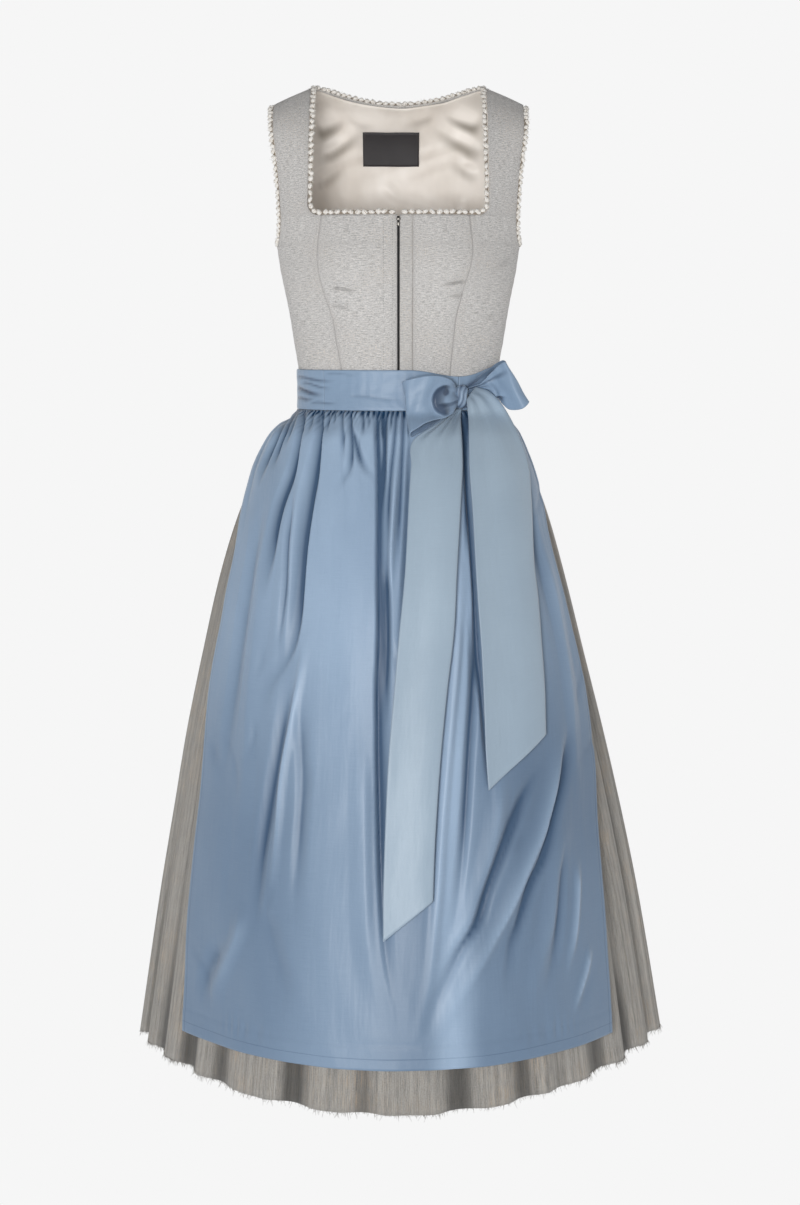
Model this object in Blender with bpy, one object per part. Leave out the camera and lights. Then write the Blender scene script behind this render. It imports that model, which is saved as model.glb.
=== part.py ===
"""A dirndl dress, filled out as worn: a sleeveless bodice, a gathered skirt and an apron tied in a bow.

Metres, +Z up. The front faces -Y, and the origin is midway between the straps, on the ridge of the
shoulders. Angles are in degrees round the body: 0 at the centre front, 90 at +X, 180 at the centre back.
"""
import math

import bmesh
import bpy
from mathutils import Vector

WALL = 0.0015  # cloth of the bodice and the skirt
THIN_WALL = 0.0012  # cloth of the apron and its ties
BAND_WALL = 0.0016
FINE_WALL = 0.001  # lining, tape and label
SEAM = 0.0003  # gap left between two pieces where they are sewn
FULLNESS = 0.9  # 1 makes a ring an ellipse, less makes it boxier, and more draws its sides to a point

NECK_LEVEL = -0.163  # bottom edge of the square neckline
NECK_HALF = 0.113  # half the neckline's width at the bottom
STRAP_INSIDE = 0.110  # the strap's inner edge on the shoulder
NECK_CORNER = 0.015
BASE_ROW = 6  # the row of BODICE that the armhole starts from
RIDGE_ROW = 12  # the row of BODICE on top of the shoulder
BACK_NECK_ROW = 11
SHOULDER_DROP = 0.024
BUST_X = 0.075
BUST_LEVEL = -0.225
BUST_RISE = 0.016
BUST_SPREAD = 0.038
CLOSURE_HALF = 0.0015  # half the gap between the two centre-front edges
PLACKET_EDGE = 0.0175
TAPE_HALF = 0.011
LABEL_LEFT = 0.047  # how far the label reaches on each side of the middle
LABEL_RIGHT = 0.027
LABEL_TOP = -0.046
LABEL_FOOT = -0.0905
LABEL_CLEAR = 0.0013
LINING_CLEAR = 0.0012

WAIST_LEVEL = -0.3775
BAND_TOP = -0.353
BAND_FOOT = -0.403
BAND_JOINT = -46.0  # where the tie is sewn to the apron's band
KNOT_ANGLE = 35.4
KNOT_LEVEL = -0.387
KNOT_SIZE = (0.0124, 0.017, 0.0286)
HEM_LEVEL = -1.235
SIDE_RISE = 0.013
HEM_RISE_LEFT = 0.004  # how much more the skirt's own hem rises from the middle to each side
HEM_RISE_RIGHT = 0.010
APRON_FOOT = -1.178
APRON_TOP = BAND_FOOT - SEAM
APRON_SEAT = 0.002  # how far the apron's face lies outside the skirt's mean surface at the band
APRON_LIFT = 0.0085  # how much further out it is just below the gathers
APRON_SPREAD = 0.005  # and how much further still at the hem
GATHERS = 32
GATHER_DEPTH = 0.0035
GATHER_LENGTH = 0.07

BRAID_RADIUS = 0.0027
BRAID_WAIST = 0.6  # radius between two puffs, as a share of BRAID_RADIUS
BRAID_CLEAR = 0.0005
BRAID_END = 0.004  # how far from the centre front the neck's braid stops
NECK_PUFFS = 58
ARM_PUFFS = 28


def table(names, *rows):
    """The rows of numbers as one tuple for each named column. The first column rises."""
    return dict(zip(names.split(), zip(*rows)))


BODICE = table(
    "row level half front back",
    (0, -0.3775, 0.1262, 0.0885, 0.0800),
    (1, -0.3500, 0.1278, 0.0900, 0.0795),
    (2, -0.3200, 0.1325, 0.0930, 0.0820),
    (3, -0.2900, 0.1375, 0.0970, 0.0880),
    (4, -0.2550, 0.1440, 0.1035, 0.0950),
    (5, -0.2280, 0.1490, 0.1080, 0.1000),
    (6, -0.2000, 0.1535, 0.1080, 0.1040),
    (7, -0.1650, 0.1620, 0.1055, 0.1070),
    (8, -0.1300, 0.1660, 0.0990, 0.1075),
    (9, -0.0900, 0.1740, 0.0880, 0.1030),
    (10, -0.0500, 0.1850, 0.0680, 0.0880),
    (11, -0.0170, 0.1920, 0.0370, 0.0560),
    (12, 0.0000, 0.1950, 0.0000, 0.0000),
    # past the ridge, the two sides change places
    (13, -0.0170, 0.1920, -0.0560, -0.0370),
)
ARMHOLE = table(
    "level edge",
    (-0.2000, 0.1535),
    (-0.1900, 0.1500),
    (-0.1650, 0.1476),
    (-0.1400, 0.1487),
    (-0.1150, 0.1503),
    (-0.0900, 0.1528),
    (-0.0530, 0.1563),
    (0.0000, 0.1573),
)
# The two seams run a little differently, as the cloth lies.
LEFT_SEAM = table(
    "level x",
    (-0.400, 0.0680),
    (-0.350, 0.0721),
    (-0.314, 0.0785),
    (-0.290, 0.0823),
    (-0.254, 0.0942),
    (-0.227, 0.1006),
    (-0.206, 0.1012),
    (-0.163, 0.0952),
)
RIGHT_SEAM = table(
    "level x",
    (-0.400, 0.0620),
    (-0.350, 0.0653),
    (-0.314, 0.0693),
    (-0.290, 0.0715),
    (-0.254, 0.0810),
    (-0.227, 0.0893),
    (-0.206, 0.0922),
    (-0.163, 0.0878),
)
SKIRT = table(
    "level half front back shift fullness",
    (-1.235, 0.3430, 0.2980, 0.3000, 0.002, 1.50),
    (-1.100, 0.3220, 0.2760, 0.2810, 0.001, 1.42),
    (-1.020, 0.3085, 0.2620, 0.2700, 0.000, 1.37),
    (-0.920, 0.2895, 0.2440, 0.2550, -0.002, 1.30),
    (-0.820, 0.2695, 0.2250, 0.2390, -0.005, 1.24),
    (-0.720, 0.2465, 0.2030, 0.2210, -0.007, 1.18),
    (-0.620, 0.2225, 0.1800, 0.1990, -0.008, 1.10),
    (-0.540, 0.1990, 0.1560, 0.1750, -0.007, 1.04),
    (-0.480, 0.1745, 0.1330, 0.1470, -0.005, 0.98),
    (-0.445, 0.1545, 0.1160, 0.1220, -0.003, 0.94),
    (-0.420, 0.1375, 0.1030, 0.1020, -0.001, 0.92),
    (-0.403, 0.1275, 0.0930, 0.0860, 0.000, 0.90),
    (-0.378, 0.1262, 0.0885, 0.0800, 0.000, 0.90),
)
BAND = table(
    "level half front back",
    (-0.403, 0.1298, 0.0953, 0.0885),
    (-0.378, 0.1292, 0.0916, 0.0830),
    (-0.353, 0.1302, 0.0926, 0.0822),
)
APRON_EDGES = table(
    "level left right",
    (-1.178, -51.0, 49.5),
    (-1.050, -53.9, 51.9),
    (-0.940, -55.0, 55.0),
    (-0.840, -56.4, 60.5),
    (-0.750, -59.3, 63.6),
    (-0.640, -60.0, 63.6),
    (-0.560, -63.5, 64.5),
    (-0.500, -72.0, 71.0),
    (-0.445, -84.0, 76.0),
    (-0.4033, -86.0, 78.0),
)
# A valley runs down from top to foot, through an angle at its top, middle and foot.
APRON_FOLDS = table(
    "top foot start middle end depth width",
    (-0.415, -0.57, -46.0, -45.5, -50.0, 0.007, 4.5),
    (-0.415, -0.80, -37.5, -31.0, -41.0, 0.012, 4.5),
    (-0.410, -0.52, -27.0, -23.5, -20.5, 0.005, 3.5),
    (-0.410, -0.51, -18.0, -18.5, -13.0, 0.005, 3.5),
    (-0.415, -1.17, -9.0, -5.0, 2.0, 0.008, 3.2),
    (-0.420, -1.02, 5.5, 0.5, -1.0, 0.012, 4.5),
    (-0.640, -1.04, -24.0, -26.0, -28.0, 0.009, 4.0),
    (-0.860, -1.178, -42.0, -40.0, -36.0, 0.007, 5.0),
    (-0.450, -1.06, 31.5, 21.5, 12.0, 0.011, 4.5),
    (-0.770, -1.15, 47.0, 23.5, 3.0, 0.012, 4.5),
    (-0.750, -1.15, 57.0, 35.0, 17.0, 0.011, 4.0),
    (-0.430, -0.62, 52.0, 54.0, 56.0, 0.007, 5.0),
)
FRONT_FOLDS = table(
    "angle width depth start",
    (-79.0, 6.5, 0.013, -0.44),
    (-66.0, 5.5, 0.010, -0.55),
    (-53.0, 6.0, 0.013, -0.50),
    (-42.0, 5.5, 0.011, -0.80),
    (-23.0, 6.5, 0.013, -0.70),
    (-7.4, 5.5, 0.009, -0.85),
    (12.6, 6.0, 0.012, -0.75),
    (27.0, 5.5, 0.011, -0.80),
    (36.0, 5.0, 0.007, -0.90),
    (48.0, 6.0, 0.012, -0.60),
    (61.0, 6.0, 0.012, -0.50),
    (75.0, 6.5, 0.013, -0.44),
)
BACK_FOLDS = 13
SKIRT_LEVELS = (
    -1.235, -1.14, -1.04, -0.94, -0.84, -0.74, -0.64, -0.56, -0.50, -0.46, -0.43, -0.404, -0.3778,
)
# Each ribbon of the bow has sections from one edge to the other. An edge has an x, a level and how far
# it lies clear of what the bow hangs on. The tails run down from the knot.
TAIL_LEFT = table(
    "along left_x left_level left_clear right_x right_level right_clear",
    (0.00, 0.0715, -0.4006, 0.0050, 0.0790, -0.4006, 0.0055),
    (0.03, 0.0500, -0.4170, 0.0048, 0.0775, -0.4110, 0.0060),
    (0.06, 0.0184, -0.4370, 0.0090, 0.0781, -0.4331, 0.0120),
    (0.12, 0.0153, -0.4680, 0.0130, 0.0789, -0.4688, 0.0150),
    (0.18, 0.0128, -0.5060, 0.0140, 0.0767, -0.5060, 0.0150),
    (0.31, 0.0079, -0.5930, 0.0140, 0.0713, -0.5930, 0.0140),
    (0.42, 0.0010, -0.6640, 0.0140, 0.0674, -0.6640, 0.0140),
    (0.54, -0.0053, -0.7340, 0.0140, 0.0588, -0.7340, 0.0140),
    (0.66, -0.0120, -0.8120, 0.0140, 0.0508, -0.8120, 0.0140),
    (0.79, -0.0159, -0.8950, 0.0130, 0.0448, -0.8950, 0.0130),
    (0.92, -0.0183, -0.9750, 0.0120, 0.0423, -0.9500, 0.0120),
    (1.00, -0.0183, -1.0250, 0.0120, 0.0415, -0.9780, 0.0120),
)
TAIL_RIGHT = table(
    "along left_x left_level left_clear right_x right_level right_clear",
    (0.00, 0.0845, -0.3889, 0.0110, 0.0960, -0.3735, 0.0110),
    (0.04, 0.0863, -0.3998, 0.0160, 0.1140, -0.3795, 0.0180),
    (0.08, 0.0871, -0.4141, 0.0190, 0.1307, -0.3969, 0.0220),
    (0.13, 0.0871, -0.4377, 0.0180, 0.1491, -0.4301, 0.0200),
    (0.20, 0.0874, -0.4736, 0.0160, 0.1625, -0.4690, 0.0170),
    (0.30, 0.0908, -0.5213, 0.0140, 0.1660, -0.5120, 0.0140),
    (0.42, 0.0940, -0.5860, 0.0140, 0.1680, -0.5860, 0.0140),
    (0.52, 0.0968, -0.6320, 0.0140, 0.1729, -0.6320, 0.0140),
    (0.65, 0.1009, -0.6900, 0.0140, 0.1769, -0.6880, 0.0140),
    (0.78, 0.1036, -0.7520, 0.0140, 0.1800, -0.7350, 0.0140),
    (0.90, 0.1055, -0.8060, 0.0130, 0.1809, -0.7680, 0.0130),
    (1.00, 0.1088, -0.8530, 0.0120, 0.1812, -0.7946, 0.0120),
)
# The loops run from the knot along the front leaf and back along the other. Their left edge is the foot.
LOOP_LEFT = table(
    "along left_x left_level left_clear right_x right_level right_clear",
    (0.00, 0.0728, -0.3980, 0.0105, 0.0728, -0.3760, 0.0105),
    (0.12, 0.0640, -0.4080, 0.0190, 0.0640, -0.3640, 0.0190),
    (0.30, 0.0380, -0.4150, 0.0260, 0.0400, -0.3590, 0.0270),
    (0.46, 0.0170, -0.4270, 0.0200, 0.0110, -0.3640, 0.0240),
    (0.53, 0.0145, -0.4320, 0.0130, 0.0056, -0.3670, 0.0160),
    (0.60, 0.0175, -0.4325, 0.0080, 0.0100, -0.3675, 0.0080),
    (0.80, 0.0400, -0.4200, 0.0070, 0.0400, -0.3690, 0.0050),
    (1.00, 0.0710, -0.3970, 0.0065, 0.0710, -0.3770, 0.0055),
)
LOOP_RIGHT = table(
    "along left_x left_level left_clear right_x right_level right_clear",
    (0.00, 0.0825, -0.3860, 0.0070, 0.0825, -0.3760, 0.0070),
    (0.12, 0.1050, -0.3790, 0.0100, 0.1010, -0.3700, 0.0110),
    (0.28, 0.1240, -0.3890, 0.0140, 0.1135, -0.3590, 0.0220),
    (0.40, 0.1380, -0.4020, 0.0260, 0.1235, -0.3480, 0.0360),
    (0.48, 0.1540, -0.4010, 0.0410, 0.1307, -0.3430, 0.0440),
    (0.56, 0.1629, -0.3920, 0.0350, 0.1344, -0.3440, 0.0390),
    (0.64, 0.1510, -0.3940, 0.0260, 0.1290, -0.3410, 0.0310),
    (0.80, 0.1230, -0.3860, 0.0085, 0.1120, -0.3520, 0.0140),
    (1.00, 0.0818, -0.3850, 0.0028, 0.0818, -0.3750, 0.0028),
)

BODICE_GREY = (201, 199, 197)
PLACKET_GREY = (184, 182, 180)
LINING_CREAM = (225, 217, 209)
BRAID_CREAM = (222, 215, 206)
APRON_BLUE = (150, 171, 194)
BAND_BLUE = (144, 166, 190)
TAIL_BLUE = (165, 183, 198)
SKIRT_TAUPE = (137, 135, 130)
TAPE_BLACK = (28, 27, 28)
LABEL_BLACK = (48, 45, 46)


def read(rows, column, at):
    """A smooth curve through a table's column, read at a value of its first column."""
    keys = next(iter(rows.values()))
    values = rows[column]
    last = len(keys) - 1
    start = 0
    while start < last - 1 and at > keys[start + 1]:
        start += 1

    def slope(index):
        low = max(index - 1, 0)
        high = min(index + 1, last)
        return (values[high] - values[low]) / (keys[high] - keys[low])

    width = keys[start + 1] - keys[start]
    share = (at - keys[start]) / width
    if share < 0:
        return values[start] + slope(start) * (at - keys[start])
    if share > 1:
        return values[start + 1] + slope(start + 1) * (at - keys[start + 1])
    rest = 1 - share
    return (
        (1 + 2 * share) * rest**2 * values[start]
        + share * rest**2 * width * slope(start)
        + share**2 * (3 - 2 * share) * values[start + 1]
        - share**2 * rest * width * slope(start + 1)
    )


def mix(low, high, share):
    return low + (high - low) * share


def ease(share):
    """0 to 1 with level ends."""
    share = min(max(share, 0.0), 1.0)
    return share * share * (3 - 2 * share)


def bell(distance, width):
    """1 at the middle of a fold, falling to 0 at its width on each side."""
    if abs(distance) >= width:
        return 0.0
    return 0.5 + 0.5 * math.cos(math.pi * distance / width)


def ring(rows, angle, key, lift=0.0, fullness=FULLNESS):
    """X and Y on the ring that a table gives at one level or row."""
    turn = math.radians(angle)
    ahead = math.cos(turn)
    reach = read(rows, "front" if ahead >= 0 else "back", key) + lift
    x = (read(rows, "half", key) + lift) * math.sin(turn)
    return x, -math.copysign(abs(ahead) ** fullness, ahead) * reach


def row_at(level):
    """The row of BODICE whose level this is."""
    low, high = 0.0, float(RIDGE_ROW)
    for _ in range(30):
        middle = (low + high) / 2
        if read(BODICE, "level", middle) < level:
            low = middle
        else:
            high = middle
    return low


def angle_of(x, row):
    """The angle on the bodice at a distance x from its middle."""
    return math.degrees(math.asin(min(x / read(BODICE, "half", row), 1.0)))


def moved_out(surface, across, up, lift, across_step=0.2, up_step=0.002):
    """A surface's point, moved along the surface's normal."""
    point = surface(across, up)
    along = surface(across + across_step, up) - surface(across - across_step, up)
    rise = surface(across, up + up_step) - surface(across, up - up_step)
    return point + along.cross(rise).normalized() * lift


def bodice_surface(angle, row):
    x, y = ring(BODICE, angle, row)
    level = read(BODICE, "level", row)
    facing = max(math.cos(math.radians(angle)), 0.0)
    from_bust = ((abs(x) - BUST_X) ** 2 + (level - BUST_LEVEL) ** 2) / BUST_SPREAD**2
    y -= BUST_RISE * facing * math.exp(-from_bust / 2)
    outside = max(abs(x) - STRAP_INSIDE + 0.005, 0.0) / 0.055
    near_ridge = ease(1 - abs(RIDGE_ROW - row) / 3)
    return Vector((x, y, level - SHOULDER_DROP * near_ridge * outside**1.2))


def bodice(angle, row, lift=0.0):
    return moved_out(bodice_surface, angle, row, lift, up_step=0.02)


def skirt_valley(angle, level):
    """How deep the skirt's folds go at a place."""
    folds = list(zip(*FRONT_FOLDS.values()))
    for fold in range(BACK_FOLDS):
        middle = 90 + 180 * (fold + 0.5 + 0.18 * math.sin(2.3 * fold)) / BACK_FOLDS
        width = 6.0 + 0.7 * math.sin(1.7 * fold + 1)
        deepest = 0.014 + 0.003 * math.sin(3.1 * fold)
        folds.append((middle, width, deepest, -0.40 - 0.05 * (fold % 3)))
    depth = 0.0
    for middle, width, deepest, start in folds:
        away = (angle - middle + 180) % 360 - 180
        if abs(away) < width and level < start:
            grown = 0.45 * ease((start - level) / 0.12) + 0.55 * (start - level) / (start - HEM_LEVEL)
            depth += deepest * grown * bell(away, width)
    return depth


def skirt_place(angle, level, lift):
    """A point off the skirt's mean surface, whose hem is a little higher at the sides."""
    x, y = ring(SKIRT, angle, level, lift, read(SKIRT, "fullness", level))
    down = (WAIST_LEVEL - level) / (WAIST_LEVEL - HEM_LEVEL)
    rise = SIDE_RISE * math.sin(math.radians(angle)) ** 4 * down**2
    return Vector((x + read(SKIRT, "shift", level), y, level + rise))


def skirt_surface(angle, level):
    point = skirt_place(angle, level, -skirt_valley(angle, level))
    down = (WAIST_LEVEL - level) / (WAIST_LEVEL - HEM_LEVEL)
    turned = (angle + 180) % 360 - 180
    to_side = min(abs(turned), 180 - abs(turned))
    rise = HEM_RISE_LEFT if turned < 0 else HEM_RISE_RIGHT
    point.z += rise * ease(to_side / 60) * down**2
    return point


def skirt(angle, level, lift=0.0):
    return moved_out(skirt_surface, angle, level, lift, across_step=0.5)


def apron_relief(share, angle, level):
    """The apron's gathers and valleys, measured from its mean surface."""
    fallen = (APRON_TOP - level) / GATHER_LENGTH
    size = GATHER_DEPTH * ease(fallen / 0.3) * (1 - ease((fallen - 0.35) / 0.65))
    size *= 0.75 + 0.25 * math.sin(19 * share)
    relief = size * math.cos(2 * math.pi * GATHERS * share)
    for top, foot, start, middle, end, depth, width in zip(*APRON_FOLDS.values()):
        down = (top - level) / (top - foot)
        if not 0 < down < 1:
            continue
        path = (1 - down) * (1 - 2 * down) * start + 4 * down * (1 - down) * middle
        path += down * (2 * down - 1) * end
        strength = ease(down / 0.25) * ease((1 - down) / 0.3)
        relief -= depth * strength * bell(angle - path, width)
    return relief


def apron_angle(share, level):
    return mix(read(APRON_EDGES, "left", level), read(APRON_EDGES, "right", level), share)


def apron_clear(level):
    """How far the apron's face lies outside the skirt's mean surface."""
    fallen = APRON_TOP - level
    return APRON_SEAT + APRON_LIFT * ease(fallen / 0.03) + APRON_SPREAD * ease(fallen / 0.25)


def apron_surface(share, level):
    angle = apron_angle(share, level)
    return skirt_place(angle, level, apron_clear(level) + apron_relief(share, angle, level))


def apron(share, level, lift=0.0):
    return moved_out(apron_surface, share, level, lift, across_step=0.003)


def band_surface(angle, level):
    x, y = ring(BAND, angle, level)
    return Vector((x, y, level))


def band(angle, level, lift=0.0):
    return moved_out(band_surface, angle, level, lift)


def front_of(x, level):
    """Y of what the bow lies on: the band, and below it the apron."""
    level = min(level, BAND_TOP)
    if level > BAND_FOOT:
        rows, out, fullness, shift = BAND, 0.0, FULLNESS, 0.0
    else:
        rows, fullness, shift = SKIRT, read(SKIRT, "fullness", level), read(SKIRT, "shift", level)
        out = apron_clear(level)
    angle = math.degrees(math.asin(min((x - shift) / (read(rows, "half", level) + out), 0.9)))
    return ring(rows, angle, level, out, fullness)[1]


def collection():
    made = bpy.data.collections.new("dirndl_dress")
    bpy.context.scene.collection.children.link(made)
    return made


def cloth_material(name, colour):
    """A matt cloth of an sRGB colour."""
    material = bpy.data.materials.new(name)
    material.use_nodes = True
    shader = material.node_tree.nodes["Principled BSDF"]
    linear = [((part / 255 + 0.055) / 1.055) ** 2.4 for part in colour]
    shader.inputs["Base Color"].default_value = (*linear, 1)
    shader.inputs["Roughness"].default_value = 0.8
    shader.inputs["Metallic"].default_value = 0.0
    material.diffuse_color = (*linear, 1)
    return material


def add(name, data, colour):
    made = bpy.data.objects.new(name, data)
    data.materials.append(cloth_material(name, colour))
    bpy.data.collections["dirndl_dress"].objects.link(made)
    return made


def cloth(name, colour, columns, rows, face, wall=WALL, gathered_rows=None):
    """A wall of cloth on a grid. face(share, row, lift) gives a point, and rows rise.

    Below the top gathered_rows, every second line down the cloth is left out.
    """
    bm = bmesh.new()
    bmesh.ops.create_grid(bm, x_segments=columns, y_segments=len(rows) - 1, size=0.5)
    if gathered_rows:
        limit = 0.5 - gathered_rows / (len(rows) - 1)
        odd = [
            edge
            for edge in bm.edges
            if abs(edge.verts[0].co.x - edge.verts[1].co.x) < 1e-6
            and round((edge.verts[0].co.x + 0.5) * columns) % 2
            and (edge.verts[0].co.y + edge.verts[1].co.y) / 2 < limit
        ]
        bmesh.ops.dissolve_edges(bm, edges=odd, use_verts=True)
    made = bmesh.ops.extrude_face_region(bm, geom=bm.faces[:], use_keep_orig=True)
    inside = {item for item in made["geom"] if isinstance(item, bmesh.types.BMVert)}
    for vert in bm.verts:
        share = vert.co.x + 0.5
        index = round((vert.co.y + 0.5) * (len(rows) - 1))
        lift = -wall if vert in inside else 0.0
        if gathered_rows == len(rows) - 1 - index and round(share * columns) % 2:
            sides = [face(share + step / columns, rows[index], lift) for step in (-1, 1)]
            vert.co = (sides[0] + sides[1]) / 2
        else:
            vert.co = face(share, rows[index], lift)
    bm.normal_update()
    bmesh.ops.recalc_face_normals(bm, faces=bm.faces[:])
    mesh = bpy.data.meshes.new(name)
    bm.to_mesh(mesh)
    bm.free()
    mesh.shade_smooth()
    mesh.set_sharp_from_angle(angle=math.radians(50))
    return add(name, mesh, colour)


def seam_angle(row):
    """Half a seam's gap, as an angle on the bodice."""
    return math.degrees(SEAM / 2 / read(BODICE, "half", row))


NECK_ROW = row_at(NECK_LEVEL)
RIDGE_END = RIDGE_ROW - 0.0035
LOWER_ROWS = (0, 1, 2, 3, 3.5, 4, 4.5, 5, 5.5, 6)
FRONT_ROWS = LOWER_ROWS + (6.4, 6.7, NECK_ROW)
CORNER_ROWS = tuple(row_at(NECK_LEVEL + climbed) for climbed in (0.0008, 0.003, 0.007, NECK_CORNER))
STRAP_ROWS = CORNER_ROWS + (8, 9, 10, 10.6, 11, 11.4, 11.75, RIDGE_END)
SIDE_ROWS = LOWER_ROWS + (6.05, 6.15, 6.4, 6.7, NECK_ROW) + STRAP_ROWS
BACK_ROWS = (0, 1, 2, 3, 4, 5, 6, 6.05, 6.15, 6.4, 7, 8, 9, 10, 10.6, 11.3, RIDGE_ROW)


def princess_angle(seam, row):
    level = min(read(BODICE, "level", row), NECK_LEVEL)
    return angle_of(read(seam, "x", level), row)


def armhole_angle(row):
    """The outer edge of the front and of the back: the side seam, and above it the armhole."""
    if row <= BASE_ROW:
        return 90.0 - seam_angle(row)
    return angle_of(read(ARMHOLE, "edge", read(BODICE, "level", row)), row)


def neck_side_angle(row):
    """The inner edge of the strap, with the round corner of the neckline at its foot."""
    climbed = read(BODICE, "level", row) - NECK_LEVEL
    x = mix(NECK_HALF, STRAP_INSIDE, min(climbed / -NECK_LEVEL, 1.0))
    if climbed < NECK_CORNER:
        x -= NECK_CORNER - math.sqrt(NECK_CORNER**2 - (NECK_CORNER - climbed) ** 2)
    return angle_of(x, row)


def side_front_start(seam, row):
    if row <= NECK_ROW:
        return princess_angle(seam, row) + seam_angle(row)
    return neck_side_angle(row)


def build_bodice_front():
    def left(share, row, lift):
        outer = princess_angle(LEFT_SEAM, row) - seam_angle(row)
        return bodice(-mix(outer, angle_of(CLOSURE_HALF, row), share), row, lift)

    def right(share, row, lift):
        inner = angle_of(PLACKET_EDGE, row) + seam_angle(row)
        outer = princess_angle(RIGHT_SEAM, row) - seam_angle(row)
        return bodice(mix(inner, outer, share), row, lift)

    def placket(share, row, lift):
        outer = angle_of(PLACKET_EDGE, row) - seam_angle(row)
        return bodice(mix(angle_of(CLOSURE_HALF, row), outer, share), row, lift)

    def tape(share, row, lift):
        half = angle_of(TAPE_HALF, row)
        return bodice(mix(-half, half, share), row, lift - WALL - SEAM)

    tape_rows = FRONT_ROWS[:-1] + (NECK_ROW - 0.05,)
    cloth("bodice_front_left", BODICE_GREY, 6, FRONT_ROWS, left)
    cloth("bodice_front_right", BODICE_GREY, 5, FRONT_ROWS, right)
    cloth("front_placket", PLACKET_GREY, 1, FRONT_ROWS, placket)
    cloth("hook_tape", TAPE_BLACK, 2, tape_rows, tape, wall=FINE_WALL)


def build_bodice_sides():
    def left(share, row, lift):
        start = side_front_start(LEFT_SEAM, row)
        return bodice(-mix(armhole_angle(row), start, share), row, lift)

    def right(share, row, lift):
        start = side_front_start(RIGHT_SEAM, row)
        return bodice(mix(start, armhole_angle(row), share), row, lift)

    cloth("bodice_side_front_left", BODICE_GREY, 7, SIDE_ROWS, left)
    cloth("bodice_side_front_right", BODICE_GREY, 7, SIDE_ROWS, right)


BACK_COLUMNS = 22
NECK_COLUMNS = 14  # the middle columns of the back, between the straps
YOKE_ROW = 9  # above this row of BODICE the back's columns spread towards the straps
LINING_INSET = 0.025  # share of the back's width left bare beside each armhole


def back_place(share, row):
    """The angle and row on the back at a share of its width, from +X to -X."""
    out = abs(2 * share - 1)
    if row <= YOKE_ROW:
        return 180 + math.copysign(armhole_angle(row) * out, share - 0.5), row
    neck = NECK_COLUMNS / BACK_COLUMNS
    top = mix(BACK_NECK_ROW, RIDGE_END, min(out / neck, 1.0) ** 2)
    row = mix(YOKE_ROW, top, (row - YOKE_ROW) / (RIDGE_ROW - YOKE_ROW))
    strap = angle_of(STRAP_INSIDE, row)
    if out < neck:
        spread = strap * out / neck
    else:
        spread = mix(strap, armhole_angle(row), (out - neck) / (1 - neck))
    angle = mix(armhole_angle(row) * out, spread, ease((row - YOKE_ROW) / 1.5))
    return 180 + math.copysign(angle, share - 0.5), row


def build_bodice_back():
    lining_rows = (0.08,) + BACK_ROWS[1:-1] + (RIDGE_ROW - 0.1,)

    def back(share, row, lift):
        angle, row = back_place(share, row)
        return bodice(angle, row, lift)

    def lining(share, row, lift):
        angle, row = back_place(min(max(share, LINING_INSET), 1 - LINING_INSET), row)
        return bodice(angle, row, lift - WALL - LINING_CLEAR)

    def label(share, level, lift):
        row = row_at(level)
        angle = 180 - mix(angle_of(LABEL_RIGHT, row), -angle_of(LABEL_LEFT, row), share)
        return bodice(angle, row, lift - WALL - LINING_CLEAR - FINE_WALL - LABEL_CLEAR)

    cloth("bodice_back", BODICE_GREY, BACK_COLUMNS, BACK_ROWS, back)
    cloth("bodice_back_lining", LINING_CREAM, BACK_COLUMNS // 2, lining_rows, lining, wall=FINE_WALL)
    cloth("label", LABEL_BLACK, 3, (LABEL_FOOT, -0.076, -0.061, LABEL_TOP), label, wall=FINE_WALL)


def spaced(points, count, closed):
    """Points at even distances along a line through the given points."""
    if closed:
        points = points + points[:1]
    lengths = [0.0]
    for start, end in zip(points, points[1:]):
        lengths.append(lengths[-1] + (end - start).length)
    steps = count if closed else count - 1
    made = []
    index = 0
    for step in range(count):
        at = lengths[-1] * step / steps
        while index < len(points) - 2 and lengths[index + 1] < at:
            index += 1
        share = (at - lengths[index]) / (lengths[index + 1] - lengths[index])
        made.append(points[index].lerp(points[index + 1], share))
    return made


def braid(name, edge, puffs, closed):
    """A ruched braid beside an edge, given as (angle, row) places with the cloth on their left."""
    faces = [bodice(angle, row, -WALL / 2) for angle, row in edge]
    outs = [bodice(angle, row, WALL / 2) for angle, row in edge]
    line = []
    for index, point in enumerate(faces):
        before = faces[index - 1] if closed or index else point
        after = faces[(index + 1) % len(faces)] if closed or index + 1 < len(faces) else point
        aside = (after - before).cross(outs[index] - point).normalized()
        line.append(point + aside * (BRAID_RADIUS + BRAID_CLEAR))
    points = spaced(line, 2 * puffs, closed)
    curve = bpy.data.curves.new(name, "CURVE")
    curve.dimensions = "3D"
    curve.bevel_depth = BRAID_RADIUS
    curve.bevel_resolution = 0
    curve.use_fill_caps = not closed
    spline = curve.splines.new("POLY")
    spline.points.add(len(points) - 1)
    for index, (place, point) in enumerate(zip(spline.points, points)):
        place.co = (*point, 1)
        place.radius = 1.0 if index % 2 else BRAID_WAIST
    spline.use_cyclic_u = closed
    add(name, curve, BRAID_CREAM)


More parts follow.
